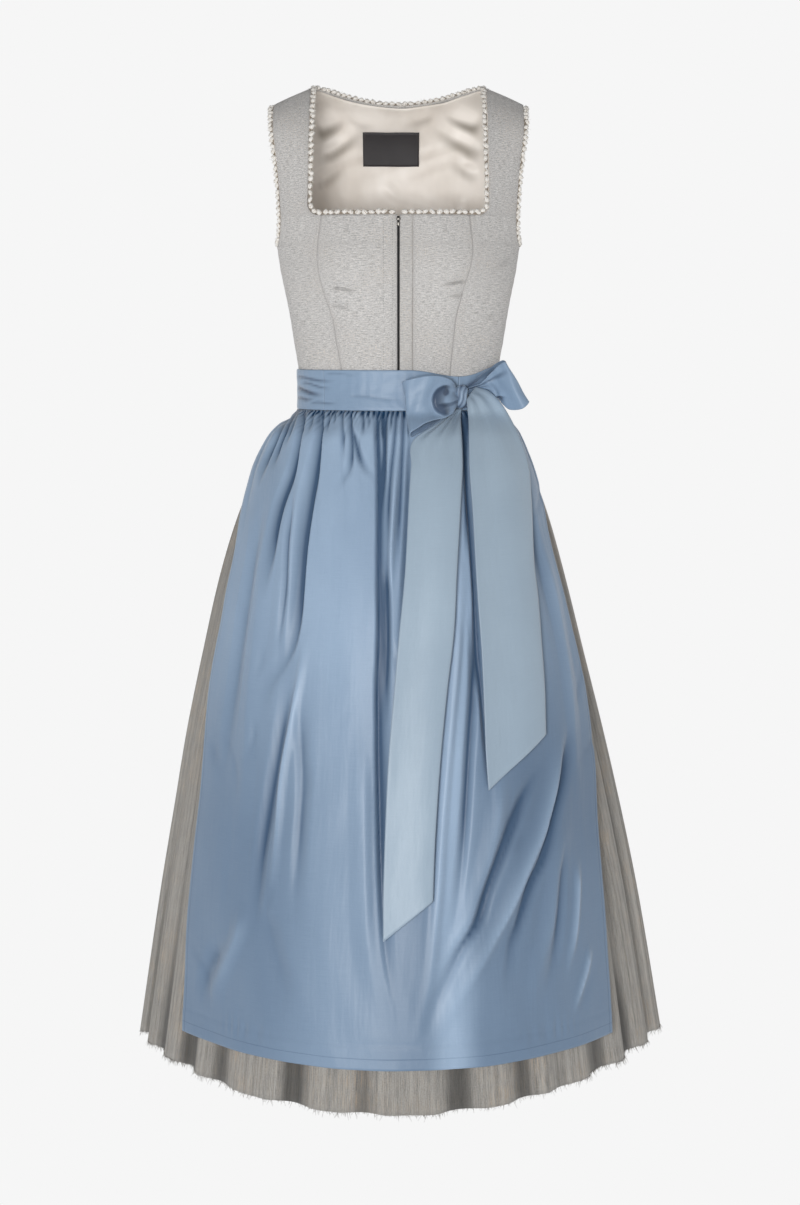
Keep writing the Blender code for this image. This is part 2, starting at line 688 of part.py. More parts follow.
def build_braids():
    straight = NECK_HALF - NECK_CORNER - BRAID_END
    right = [(angle_of(BRAID_END + straight * step / 8, NECK_ROW), NECK_ROW) for step in range(8)]
    right += [(neck_side_angle(row), row) for row in STRAP_ROWS]
    strap_columns = (BACK_COLUMNS - NECK_COLUMNS) // 2
    columns = range(strap_columns, BACK_COLUMNS - strap_columns + 1)
    back = [back_place(column / BACK_COLUMNS, RIDGE_ROW) for column in columns]
    left = [(360 - angle, row) for angle, row in reversed(right)]
    braid("neck_braid", (right + back + left)[::-1], NECK_PUFFS, False)
    front = [(armhole_angle(row), row) for row in SIDE_ROWS if row > BASE_ROW]
    behind = [back_place(0, row) for row in reversed(BACK_ROWS) if row > BASE_ROW]
    loop = [(90.0, BASE_ROW)] + front + behind
    braid("armhole_braid_right", loop, ARM_PUFFS, True)
    braid("armhole_braid_left", [(-angle, row) for angle, row in loop[::-1]], ARM_PUFFS, True)


def build_skirt():
    def half(start, apart):
        def face(share, level, lift):
            point = skirt(mix(start, start + 180, share), level, lift)
            return point + Vector((0, apart, 0))

        return face

    cloth("skirt_front", SKIRT_TAUPE, 42, SKIRT_LEVELS, half(-90, -SEAM / 2))
    cloth("skirt_back", SKIRT_TAUPE, 42, SKIRT_LEVELS, half(90, SEAM / 2))


def build_apron():
    levels = (
        APRON_FOOT, -1.14, -1.10, -1.06, -1.02, -0.98, -0.94, -0.90, -0.86, -0.82, -0.78, -0.73,
        -0.68, -0.63, -0.58, -0.54, -0.505, -0.475, -0.45, -0.43, -0.416, APRON_TOP,
    )
    cloth("apron", APRON_BLUE, 2 * GATHERS, levels, apron, THIN_WALL, gathered_rows=4)


def band_top(angle):
    """The top edge dips at the knot and rides up beside it."""
    return BAND_TOP - 0.008 * bell(angle - KNOT_ANGLE, 30) + 0.008 * bell(angle - 95, 55)


def build_band_and_tie():
    def face_between(start, end):
        def face(share, part, lift):
            angle = mix(start, end, share)
            return band(angle, mix(BAND_FOOT, band_top(angle), part), lift)

        return face

    gap = 0.1
    waistband = face_between(BAND_JOINT, KNOT_ANGLE - gap)
    tie = face_between(KNOT_ANGLE + gap, 360 + BAND_JOINT - gap)
    cloth("apron_waistband", BAND_BLUE, 12, (0, 0.5, 1), waistband, wall=BAND_WALL)
    cloth("tie_wrap", BAND_BLUE, 40, (0, 0.5, 1), tie, wall=BAND_WALL)


def build_knot():
    bm = bmesh.new()
    bmesh.ops.create_uvsphere(bm, u_segments=12, v_segments=8, radius=1.0)
    seat = band_surface(KNOT_ANGLE, KNOT_LEVEL)
    out = (band(KNOT_ANGLE, KNOT_LEVEL, 1.0) - seat).normalized()
    side = Vector((-out.y, out.x, 0)).normalized()
    half_width, half_depth, half_height = (size / 2 for size in KNOT_SIZE)
    for vert in bm.verts:
        wide, deep, tall = (math.copysign(abs(part) ** 0.8, part) for part in vert.co)
        pinch = 1 - 0.12 * math.cos(3 * tall)
        place = seat + out * (2 * SEAM + half_depth * (1 + deep)) + side * (half_width * wide * pinch)
        vert.co = place + Vector((0, 0, half_height * tall))
    bm.normal_update()
    bmesh.ops.recalc_face_normals(bm, faces=bm.faces[:])
    mesh = bpy.data.meshes.new("bow_knot")
    bm.to_mesh(mesh)
    bm.free()
    mesh.shade_smooth()
    add("bow_knot", mesh, TAIL_BLUE)


def ribbon(name, colour, rows, columns, steps, fold_depth=0.0):
    """A ribbon through the sections of a table. Its grid runs up from the table's last section."""

    def surface(share, up):
        along = 1 - up
        x, level, clear = (
            mix(read(rows, "left_" + part, along), read(rows, "right_" + part, along), share)
            for part in ("x", "level", "clear")
        )
        clear += fold_depth * ease(along / 0.15) * math.sin(2 * math.pi * share)
        return Vector((x, front_of(x, level) - clear, level))

    def face(share, up, lift):
        return moved_out(surface, share, up, lift, across_step=0.02, up_step=0.004)

    ups = tuple(step / steps for step in range(steps + 1))
    cloth(name, colour, columns, ups, face, wall=THIN_WALL)


def build_bow():
    build_knot()
    ribbon("bow_loop_left", APRON_BLUE, LOOP_LEFT, 4, 20)
    ribbon("bow_loop_right", APRON_BLUE, LOOP_RIGHT, 4, 20)
    ribbon("bow_tail_left", TAIL_BLUE, TAIL_LEFT, 6, 18, 0.002)
    ribbon("bow_tail_right", TAIL_BLUE, TAIL_RIGHT, 6, 18, 0.003)


for old in list(bpy.data.objects):
    bpy.data.objects.remove(old)
collection()
build_bodice_front()
build_bodice_sides()
build_bodice_back()
build_braids()
build_skirt()
build_apron()
build_band_and_tie()
build_bow()
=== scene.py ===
"""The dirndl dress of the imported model, with its cloth, trimmings and sewing, in a plain pale studio.

Metres, +Z up, the front towards -Y. Angles are in degrees round the body, as in the CAD model: 0 at the
centre front and 90 at +X, where the bow is.
"""
import math

import bmesh
import bpy
import numpy as np
from mathutils import Matrix, Vector


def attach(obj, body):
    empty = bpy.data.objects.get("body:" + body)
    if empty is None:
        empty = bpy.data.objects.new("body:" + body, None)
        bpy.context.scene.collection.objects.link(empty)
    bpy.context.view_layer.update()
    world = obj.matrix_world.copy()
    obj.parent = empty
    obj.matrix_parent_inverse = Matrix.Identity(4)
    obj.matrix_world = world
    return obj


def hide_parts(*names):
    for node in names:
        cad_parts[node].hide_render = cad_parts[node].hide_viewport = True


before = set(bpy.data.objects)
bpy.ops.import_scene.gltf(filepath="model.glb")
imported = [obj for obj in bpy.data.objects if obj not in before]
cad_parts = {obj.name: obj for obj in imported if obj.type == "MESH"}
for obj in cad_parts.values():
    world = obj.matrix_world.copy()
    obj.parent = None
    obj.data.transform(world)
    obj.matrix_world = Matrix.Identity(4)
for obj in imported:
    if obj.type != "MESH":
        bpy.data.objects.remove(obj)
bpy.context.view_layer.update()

# ---- Studio ---------------------------------------------------------------------------------------------
# A camera three metres before the dress, level with its chest and tipped down a little, in a round pale
# studio whose floor runs up into its wall. The camera sees plain paper. A second wall in the same place,
# which it doesn't see, glows most behind the dress, and soft boxes light the front, mostly from the left.
CAMERA_PLACE = (0.0019, -3.0, -0.3037)
CAMERA_TIPPED = 6.64  # degrees below level
CAMERA_LENS = 69.9  # millimetres, on a frame 36 mm high
FLOOR_LEVEL = -1.47
STUDIO_REACH = 7.0
WALL_CURVE = 1.6
WALL_HEIGHT = 3.0
CURVE_STEPS = 16
ROUND_STEPS = 96
STUDIO_WHITE = 0.20
STUDIO_PALE = 0.922
STUDIO_GLOW = (0.26, 0.785)  # before the dress and behind it
GLOW_RISE = (-1.0, 0.05)  # it rises between these places on Y
AIR_GLOW = 0.1

lens = bpy.data.cameras.new("camera")
lens.sensor_fit = "VERTICAL"
lens.sensor_height = 36.0
lens.lens = CAMERA_LENS
camera = bpy.data.objects.new("camera", lens)
camera.location = CAMERA_PLACE
camera.rotation_euler = (math.radians(90 - CAMERA_TIPPED), 0, 0)
bpy.context.scene.collection.objects.link(camera)
bpy.context.scene.camera = camera
bpy.context.scene.view_settings.view_transform = "Standard"


def lamp(name, place, target, size, watts):
    """A square soft box that faces a point, and that the camera doesn't see."""
    light = bpy.data.lights.new(name, "AREA")
    light.shape = "SQUARE"
    light.size = size
    light.energy = watts
    made = bpy.data.objects.new(name, light)
    made.location = place
    made.rotation_euler = (Vector(target) - Vector(place)).to_track_quat("-Z", "Y").to_euler()
    made.visible_camera = False
    bpy.context.scene.collection.objects.link(made)


lamp("key_light", (-0.6, -3.8, -0.4), (0, 0, -0.60), 0.8, 76)
lamp("front_light", (0.6, -3.8, -0.9), (0, 0, -0.7), 0.7, 12)
lamp("fill_light", (2.9, -1.9, 0.2), (0, 0, -0.6), 2.0, 3)
lamp("back_light", (0.8, 2.8, 1.6), (0, 0, -0.4), 2.0, 34)

studio_air = bpy.data.worlds.new("studio_air")
studio_air.use_nodes = True
studio_air.node_tree.nodes["Background"].inputs["Color"].default_value = (1, 1, 1, 1)
studio_air.node_tree.nodes["Background"].inputs["Strength"].default_value = AIR_GLOW
bpy.context.scene.world = studio_air

sweep = bmesh.new()
middle = sweep.verts.new((0, 0, FLOOR_LEVEL))
bend = sweep.verts.new((STUDIO_REACH - WALL_CURVE, 0, FLOOR_LEVEL))
sweep.edges.new((middle, bend))
made = bmesh.ops.spin(
    sweep,
    geom=[bend],
    cent=(STUDIO_REACH - WALL_CURVE, 0, FLOOR_LEVEL + WALL_CURVE),
    axis=(0, -1, 0),
    angle=math.pi / 2,
    steps=CURVE_STEPS,
)
made = bmesh.ops.extrude_vert_indiv(
    sweep, verts=[item for item in made["geom_last"] if isinstance(item, bmesh.types.BMVert)]
)
bmesh.ops.translate(sweep, verts=made["verts"], vec=(0, 0, WALL_HEIGHT))
bmesh.ops.spin(
    sweep,
    geom=sweep.verts[:] + sweep.edges[:],
    cent=(0, 0, 0),
    axis=(0, 0, 1),
    angle=2 * math.pi,
    steps=ROUND_STEPS,
    use_merge=True,
)
bmesh.ops.remove_doubles(sweep, verts=sweep.verts[:], dist=1e-5)
bmesh.ops.recalc_face_normals(sweep, faces=sweep.faces[:])
backdrop_mesh = bpy.data.meshes.new("backdrop")
sweep.to_mesh(backdrop_mesh)
sweep.free()
backdrop_mesh.shade_smooth()


class Socket:
    """A value, colour or vector in a material. Sums and products of values add the Math nodes."""

    def __init__(self, tree, output):
        self.tree, self.output = tree, output

    def node(self, kind, settings, inputs, out=0):
        """One more node: its settings are set first, then its sockets get values or links."""
        made = self.tree.nodes.new("ShaderNode" + kind)
        for name, value in settings.items():
            if name == "stops":
                while len(made.color_ramp.elements) < len(value):
                    made.color_ramp.elements.new(1.0)
                for stop, (at, colour) in zip(made.color_ramp.elements, value):
                    stop.position, stop.color = at, (*colour, 1)
            else:
                setattr(made, name, value)
        for name, value in inputs.items():
            if isinstance(value, Socket):
                self.tree.links.new(value.output, made.inputs[name])
            else:
                made.inputs[name].default_value = value
        return Socket(self.tree, made.outputs[out])

    def maths(self, operation, *values):
        return self.node("Math", {"operation": operation}, dict(enumerate(values)))

    def __add__(self, other):
        return self.maths("ADD", self, other)

    def __sub__(self, other):
        return self.maths("SUBTRACT", self, other)

    def __rsub__(self, other):
        return self.maths("SUBTRACT", other, self)

    def __mul__(self, other):
        return self.maths("MULTIPLY", self, other)

    def __truediv__(self, other):
        return self.maths("DIVIDE", self, other)

    def __pow__(self, other):
        return self.maths("POWER", self, other)

    def __abs__(self):
        return self.maths("ABSOLUTE", self)

    __radd__, __rmul__ = __add__, __mul__

    def within(self, low, high):
        """0 below low, 1 above high and smooth between."""
        ends = {"Value": self, "From Min": low, "From Max": high}
        return self.node("MapRange", {"interpolation_type": "SMOOTHSTEP"}, ends)

    def scaled(self, x, y, z=1.0):
        """A vector, stretched along each axis."""
        return self.node("VectorMath", {"operation": "MULTIPLY"}, {0: self, 1: (x, y, z)})

    def part(self, name):
        return self.node("SeparateXYZ", {}, {0: self}, name)

    def noise(self, scale=1.0, detail=2.0, roughness=0.5):
        return self.node(
            "TexNoise", {}, {"Vector": self, "Scale": scale, "Detail": detail, "Roughness": roughness}
        )

    def ramp(self, *stops):
        """Colours along a value. Each stop is a place on it and a colour."""
        return self.node("ValToRGB", {"stops": [(at, srgb(*shade)) for at, shade in stops]}, {0: self})

    def toned(self, amount, shade):
        """A colour, mixed by an amount with another shade."""
        return self.node("Mix", {"data_type": "RGBA"}, {0: amount, 6: self, 7: (*srgb(*shade), 1)}, 2)


def srgb(red, green, blue):
    """A colour of the 0 to 255 scale as the shader's light values."""
    return tuple(((part / 255 + 0.055) / 1.055) ** 2.4 for part in (red, green, blue))


def new_finish(name, fixed):
    """A material: its shader with the sockets that are the same all over, and a socket to start from."""
    made = bpy.data.materials.new(name)
    made.use_nodes = True
    shader = made.node_tree.nodes["Principled BSDF"]
    for socket, value in fixed.items():
        shader.inputs[socket].default_value = value
    made.node_tree.nodes["Material Output"].label = name
    return made, shader, Socket(made.node_tree, shader.outputs[0])


def spot_of(start):
    """The place on a piece, in metres."""
    return start.node("TexCoord", {}, {}, "Object")


def link(socket, shader, name):
    """Drive one of a shader's sockets with a value or a colour."""
    socket.tree.links.new(socket.output, shader.inputs[name])


def studio_wall(name, finish, seen):
    """One of the studio's two walls: the paper that the camera sees, or the glow that lights the dress."""
    mesh = backdrop_mesh.copy()
    mesh.materials.append(finish)
    wall = bpy.data.objects.new(name, mesh)
    wall.visible_camera = seen
    wall.visible_diffuse = wall.visible_glossy = wall.visible_transmission = wall.visible_shadow = not seen
    bpy.context.scene.collection.objects.link(wall)


paper, paper_shader, _ = new_finish("studio_paper", {"Roughness": 1.0, "Emission Strength": 1.0})
paper_shader.inputs["Base Color"].default_value = (0, 0, 0, 1)
paper_shader.inputs["Specular IOR Level"].default_value = 0.0
paper_shader.inputs["Emission Color"].default_value = (STUDIO_PALE, STUDIO_PALE, STUDIO_PALE, 1)
studio_wall("backdrop", paper, True)

glowing, glowing_shader, glowing_start = new_finish(
    "studio_glow", {"Roughness": 0.9, "Emission Strength": 1.0}
)
glowing_shader.inputs["Base Color"].default_value = (STUDIO_WHITE, STUDIO_WHITE, STUDIO_WHITE, 1)
behind = spot_of(glowing_start).part("Y").within(*GLOW_RISE)
glow = behind * (STUDIO_GLOW[1] - STUDIO_GLOW[0]) + STUDIO_GLOW[0]
link(glow.node("CombineColor", {}, {0: glow, 1: glow, 2: glow}), glowing_shader, "Emission Color")
studio_wall("glow_wall", glowing, False)

# ---- Bodice ---------------------------------------------------------------------------------------------
# Light grey linen with a short slub across it, cut in panels that meet at the princess seams, the side
# seams and the shoulders. Each panel's allowances are turned in under it, so its edges roll into the seam,
# and the panels are lined with cream satin.
CLOTH_WALL = 0.0015
SEAM_GAP = 0.0003
RING_FULLNESS = 0.9  # 1 makes a ring an ellipse, and less makes it boxier
NECK_LEVEL = -0.163
NECK_HALF = 0.113
STRAP_INSIDE = 0.110
NECK_CORNER = 0.015
SHOULDER_DROP = 0.024
BUST_X = 0.075
BUST_LEVEL = -0.225
BUST_RISE = 0.016
BUST_SPREAD = 0.038
CLOSURE_HALF = 0.0015
PLACKET_EDGE = 0.0175
TURNED_EDGE = 0.0188  # the far edge of what is turned in on the other front
SIDE_ROW = 6  # the armhole starts here
RIDGE_ROW = 12
SEAM_ROLL = 0.0009  # how far a panel's edge sinks into its seam
ROLL_WIDTH = 0.0013
RIPPLE_HEIGHT = 0.00025  # of the puckers that the stitches draw along a seam
RIPPLE_PITCH = 0.0026
RIPPLE_WANDER = 0.021
RIPPLE_REACH = 0.006
SOFTNESS = 0.0005  # how far the worn cloth swells between its seams
WIDE_PANEL = 0.085
NARROW_PANEL = 0.07
CREASE_DARK = 0.0046  # a crease this deep gets the most painted shade
SIDE_SHADE = (0.2, 0.095, 0.03)  # how much painted shade the side towards +X gets, from which x, and over what width
TURNED_SHADE = (0.30, 0.18)  # how much painted shade the two lines of the turned edge get, along its stitches
TURNED_WIDTH = 0.0016


def table(names, *rows):
    """The rows of numbers as one array for each named column. The first column rises."""
    return dict(zip(names.split(), np.array(rows, float).T))


BODICE = table(
    "row level half front back",
    (0, -0.3775, 0.1262, 0.0885, 0.0800),
    (1, -0.3500, 0.1278, 0.0900, 0.0795),
    (2, -0.3200, 0.1325, 0.0930, 0.0820),
    (3, -0.2900, 0.1375, 0.0970, 0.0880),
    (4, -0.2550, 0.1440, 0.1035, 0.0950),
    (5, -0.2280, 0.1490, 0.1080, 0.1000),
    (6, -0.2000, 0.1535, 0.1080, 0.1040),
    (7, -0.1650, 0.1620, 0.1055, 0.1070),
    (8, -0.1300, 0.1660, 0.0990, 0.1075),
    (9, -0.0900, 0.1740, 0.0880, 0.1030),
    (10, -0.0500, 0.1850, 0.0680, 0.0880),
    (11, -0.0170, 0.1920, 0.0370, 0.0560),
    (12, 0.0000, 0.1950, 0.0000, 0.0000),
    (13, -0.0170, 0.1920, -0.0560, -0.0370),
)
ARMHOLE = table(
    "level edge",
    (-0.2000, 0.1535),
    (-0.1900, 0.1500),
    (-0.1650, 0.1476),
    (-0.1400, 0.1487),
    (-0.1150, 0.1503),
    (-0.0900, 0.1528),
    (-0.0530, 0.1563),
    (0.0000, 0.1573),
)
LEFT_SEAM = table(
    "level x",
    (-0.400, 0.0680),
    (-0.350, 0.0721),
    (-0.314, 0.0785),
    (-0.290, 0.0823),
    (-0.254, 0.0942),
    (-0.227, 0.1006),
    (-0.206, 0.1012),
    (-0.163, 0.0952),
)
RIGHT_SEAM = table(
    "level x",
    (-0.400, 0.0620),
    (-0.350, 0.0653),
    (-0.314, 0.0693),
    (-0.290, 0.0715),
    (-0.254, 0.0810),
    (-0.227, 0.0893),
    (-0.206, 0.0922),
    (-0.163, 0.0878),
)
# Creases that the cloth's pull draws, each from one end to the other.
BODICE_CREASES = table(
    "x level end_x end_level depth width",
    (-0.088, -0.249, -0.036, -0.256, 0.0030, 0.0052),
    (-0.086, -0.270, -0.050, -0.279, 0.0026, 0.0050),
    (-0.080, -0.292, -0.060, -0.302, 0.0012, 0.0050),
    (0.088, -0.241, 0.040, -0.249, 0.0030, 0.0052),
    (0.085, -0.258, 0.050, -0.263, 0.0026, 0.0050),
    (0.078, -0.306, 0.060, -0.316, 0.0007, 0.0040),
    (-0.125, -0.285, -0.098, -0.300, 0.0008, 0.0060),
    (0.125, -0.280, 0.098, -0.296, 0.0008, 0.0060),
    (-0.140, -0.212, -0.118, -0.232, 0.0009, 0.0070),
    (0.140, -0.212, 0.118, -0.230, 0.0009, 0.0070),
)


def read(rows, column, at):
    """A smooth curve through a table's column, read at values of its first column."""
    keys, values = rows[next(iter(rows))], rows[column]
    steps = np.arange(len(keys))
    before, after = np.maximum(steps - 1, 0), np.minimum(steps + 1, len(keys) - 1)
    slopes = (values[after] - values[before]) / (keys[after] - keys[before])
    inside = np.clip(at, keys[0], keys[-1])
    start = np.clip(np.searchsorted(keys, inside, "right") - 1, 0, len(keys) - 2)
    width = keys[start + 1] - keys[start]
    share = (inside - keys[start]) / width
    rest = 1 - share
    beyond = at - inside
    return (
        (1 + 2 * share) * rest**2 * values[start]
        + share * rest**2 * width * slopes[start]
        + share**2 * (3 - 2 * share) * values[start + 1]
        - share**2 * rest * width * slopes[start + 1]
        + beyond * np.where(beyond < 0, slopes[0], slopes[-1])
    )


def mix(low, high, share):
    """The value at a share of the way from low to high."""
    return low + (high - low) * share


def ease(share):
    """0 to 1 with level ends."""
    share = np.clip(share, 0.0, 1.0)
    return share * share * (3 - 2 * share)


def bell(distance, width):
    """1 at the middle, falling to 0 at a width on each side."""
    return 0.5 + 0.5 * np.cos(np.pi * np.clip(distance / width, -1, 1))


def ring(rows, angle, key, lift=0.0, fullness=RING_FULLNESS):
    """X and Y on the ring that a table gives at one level or row."""
    turn = np.radians(angle)
    ahead = np.cos(turn)
    reach = np.where(ahead >= 0, read(rows, "front", key), read(rows, "back", key)) + lift
    x = (read(rows, "half", key) + lift) * np.sin(turn)
    return x, -np.sign(ahead) * np.abs(ahead) ** fullness * reach


def row_at(level):
    """The row of BODICE whose level this is."""
    low, high = np.zeros_like(np.asarray(level, float)), np.full_like(np.asarray(level, float), RIDGE_ROW)
    for _ in range(30):
        middle = (low + high) / 2
        under = read(BODICE, "level", middle) < level
        low, high = np.where(under, middle, low), np.where(under, high, middle)
    return low


def angle_of(x, row):
    """The angle on the bodice at a distance x from its middle."""
    return np.degrees(np.arcsin(np.minimum(x / read(BODICE, "half", row), 1.0)))


def moved_out(surface, across, up, lift, across_step=0.2, up_step=0.002):
    """A surface's points, moved along its normal."""
    along = surface(across + across_step, up) - surface(across - across_step, up)
    rise = surface(across, up + up_step) - surface(across, up - up_step)
    normal = np.cross(along, rise)
    normal /= np.linalg.norm(normal, axis=-1, keepdims=True)
    return surface(across, up) + normal * np.broadcast_to(lift, np.shape(across))[..., None]


def bodice_surface(angle, row):
    """The bodice's plain outer face at an angle and a row of its table."""
    x, y = ring(BODICE, angle, row)
    level = read(BODICE, "level", row)
    facing = np.maximum(np.cos(np.radians(angle)), 0.0)
    from_bust = ((np.abs(x) - BUST_X) ** 2 + (level - BUST_LEVEL) ** 2) / BUST_SPREAD**2
    y = y - BUST_RISE * facing * np.exp(-from_bust / 2)
    outside = np.maximum(np.abs(x) - STRAP_INSIDE + 0.005, 0.0) / 0.055
    near_ridge = ease(1 - np.abs(RIDGE_ROW - row) / 3)
    return np.stack([x, y, level - SHOULDER_DROP * near_ridge * outside**1.2], axis=-1)


def bodice(angle, row, lift=0.0):
    """The bodice's face, lifted out from itself."""
    return moved_out(bodice_surface, angle, row, lift, up_step=0.02)


def creases(rows, x, level):
    """How deep a table's creases are at a place: each is a soft trough that fades at its ends."""
    depth = np.zeros(np.shape(x))
    for x1, z1, x2, z2, deep, width in zip(*rows.values()):
        length = math.hypot(x2 - x1, z2 - z1)
        along = ((x - x1) * (x2 - x1) + (level - z1) * (z2 - z1)) / length**2
        aside = ((x - x1) * (z2 - z1) - (level - z1) * (x2 - x1)) / length
        depth += deep * ease(along / 0.25) * ease((1 - along) / 0.6) * bell(aside, width)
    return depth


def meshed(name, bm):
    """The mesh of a bmesh that is done with."""
    mesh = bpy.data.meshes.new(name)
    bm.to_mesh(mesh)
    bm.free()
    return mesh


def shown(name, mesh, *finishes):
    """A piece in the scene, smooth all over."""
    mesh.shade_smooth()
    for finish in finishes:
        mesh.materials.append(finish)
    made = bpy.data.objects.new(name, mesh)
    bpy.context.scene.collection.objects.link(made)
    return made


def cut_cloth(name, columns, ups, place, wall, flat, finishes, painted_shade=None):
    """A piece of cloth on a grid: place(across, up) gives its outer face, from left to right and upwards.

    flat is its width and length before it is sewn, which its weave follows. With two finishes, the second
    is the lining's. The last argument gives the painted shade at a place (across, up), kept as the attribute
    fold: 1 is the darkest painted shade, deep in a fold, and -1 a painted highlight on a fold's top.
    """
    bm = bmesh.new()
    bm.loops.layers.uv.new("cut")
    bmesh.ops.create_grid(bm, x_segments=columns, y_segments=len(ups) - 1, size=0.5, calc_uvs=True)
    grid = np.array([vert.co for vert in bm.verts]) + 0.5
    up = np.array(ups)[np.rint(grid[:, 1] * (len(ups) - 1)).astype(int)]
    for vert, point in zip(bm.verts, place(grid[:, 0], up)):
        vert.co = point
    mesh = meshed(name, bm)
    corners = np.empty(2 * len(mesh.loops), np.float32)
    mesh.uv_layers["cut"].data.foreach_get("uv", corners)
    mesh.uv_layers["cut"].data.foreach_set("uv", (corners.reshape(-1, 2) * flat).astype(np.float32).ravel())
    # Painted shade, and painted highlight below nothing, kept as the attribute fold that the finishes read.
    if painted_shade:
        depths = mesh.attributes.new("fold", "FLOAT", "POINT")
        depths.data.foreach_set("value", np.clip(painted_shade(grid[:, 0], up), -1, 1).astype(np.float32))
    made = shown(name, mesh, *finishes)
    if wall:
        thickness = made.modifiers.new("wall", "SOLIDIFY")
        thickness.thickness = wall
        thickness.offset = -1
        thickness.material_offset = len(finishes) - 1
    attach(made, "root")
    return made


def raised(height, distance, strength=1.0):
    """A bump, from a height of 0 to 1 that is a distance in metres."""
    return height.node("Bump", {}, {"Height": height, "Distance": distance, "Strength": strength})


def cut_of(start):
    """The place on a cloth's flat cut, in metres."""
    return start.node("UVMap", {"uv_map": "cut"}, {})


def read_painted_shade(start):
    """The painted shade at a place on a cloth, from its attribute fold; below nothing it is a painted
    highlight.
    """
    return start.node("Attribute", {"attribute_name": "fold"}, {}, "Fac")


def linen(name, shade, dark, warm, across, slub=0.4, streak=0.0):
    """Linen yarn in two greys with a warm one, woven about a millimetre apart, its slubs along one way, and
    painted shade in its folds and creases.
    """
    made, shader, start = new_finish(name, {"Roughness": 0.92, "Sheen Weight": 0.12, "Sheen Roughness": 0.6})
    cut = cut_of(start)
    long, short = (170.0, 1100.0) if across else (1000.0, 60.0)
    slubs = cut.scaled(long, short).noise(1.0, 3.0, 0.6)
    yarn = cut.scaled(3.0 * long, 0.8 * short).noise(1.0, 2.0, 0.6)
    fleck = cut.scaled(820, 820).noise(1.0, 3.0, 0.8)
    patches = cut.scaled(16, 16).noise(1.0, 2.0, 0.5)
    bands = cut.scaled(130, 2.5).noise(1.0, 3.0, 0.6)
    mixed = slubs * slub + yarn * 0.2 + fleck * (0.8 - slub)
    if streak:
        mixed = mixed * (1 - streak) + bands * streak
    base = mixed.ramp((0.38, dark), (0.60, shade))
    warmth = yarn.within(0.50, 0.68) * (0.25 + 0.55 * patches.within(0.42, 0.66))
    tone = base.toned(warmth, warm)
    # Painted shade: the colour darkens towards a deep grey where the attribute fold is high.
    fold = read_painted_shade(start)
    deep = tuple(0.45 * part for part in dark)
    link(tone.toned(fold.within(0.1, 1.0) * 0.75, deep), shader, "Base Color")
    weft, warp = cut.part("Y") * 5200, cut.part("X") * 5200
    weave = weft.maths("SINE", weft) * weft.maths("SINE", warp)
    link(raised(weave * 0.2 + slubs * 0.4 + fleck * 0.6, 0.0009, 0.6), shader, "Normal")
    return made


def satin(name, shade, shadow, deep):
    """Smooth satin with a soft shine and a fine rib, with painted shade in its folds."""
    made, shader, start = new_finish(name, {"Sheen Weight": 0.1, "IOR": 1.45})
    cut = cut_of(start)
    cloud = cut.scaled(14, 9).noise(1.0, 3.0, 0.55)
    grain = cut.scaled(1400, 300).noise(1.0, 2.0, 0.5)
    fold = read_painted_shade(start)
    base = cloud.ramp((0.3, shadow), (0.6, shade))
    # Painted shade in the folds, towards the deep colour.
    link(base.toned(fold * 0.75, deep), shader, "Base Color")
    link(grain * 0.12 + 0.36, shader, "Roughness")
    link(raised(grain, 0.0002, 0.3), shader, "Normal")
    return made


bodice_linen = linen("bodice_linen", (238, 236, 234), (150, 148, 146), (220, 208, 194), True)
# The last colour is the painted shade in the satin's folds.
bodice_satin = satin("bodice_satin", (246, 238, 229), (222, 213, 203), (140, 132, 120))

NECK_ROW = row_at(NECK_LEVEL)
RIDGE_END = RIDGE_ROW - 0.0035
CORNER_STEPS = np.array([0.004, 0.03, 0.09, 0.18, 0.3, 0.45, 0.6, 0.8, 1.0])
CORNER_ROWS = row_at(NECK_LEVEL + NECK_CORNER * CORNER_STEPS)
LOWER_ROWS = np.linspace(0, SIDE_ROW, 76)
UPPER_ROWS = np.concatenate([[6.03, 6.07, 6.11], np.linspace(6.15, NECK_ROW, 14)])
FRONT_ROWS = np.concatenate([LOWER_ROWS, UPPER_ROWS])
STRAP_ROWS = np.concatenate([CORNER_ROWS, np.linspace(7.6, RIDGE_END, 50)])
SIDE_ROWS = np.concatenate([FRONT_ROWS, STRAP_ROWS])


def seam_angle(row):
    """Half a seam's gap, as an angle on the bodice."""
    return np.degrees(SEAM_GAP / 2 / read(BODICE, "half", row))


def princess_angle(seam, row):
    """Where one of the curved front seams runs. Above the neckline it keeps its x."""
    level = np.minimum(read(BODICE, "level", row), NECK_LEVEL)
    return angle_of(read(seam, "x", level), row)


def armhole_angle(row):
    """The outer edge of the front and of the back: the side seam, and above it the armhole."""
    seam = 90.0 - seam_angle(row)
    return np.where(row <= SIDE_ROW, seam, angle_of(read(ARMHOLE, "edge", read(BODICE, "level", row)), row))


def neck_side_angle(row):
    """The inner edge of the strap, with the round corner of the neckline at its foot."""
    climbed = read(BODICE, "level", row) - NECK_LEVEL
    x = mix(NECK_HALF, STRAP_INSIDE, np.minimum(climbed / -NECK_LEVEL, 1.0))
    below = np.clip(NECK_CORNER - climbed, 0, NECK_CORNER)
    return angle_of(x - NECK_CORNER + np.sqrt(NECK_CORNER**2 - below**2), row)


def side_front_start(seam, row):
    """The inner edge of a side front: its seam, and above that the neckline's side."""
    return np.where(row <= NECK_ROW, princess_angle(seam, row) + seam_angle(row), neck_side_angle(row))


def crowded(share):
    """Shares that lie closer together towards both edges of a panel, where it rolls into its seams."""
    return share - 0.8 * np.sin(2 * np.pi * share) / (2 * np.pi)


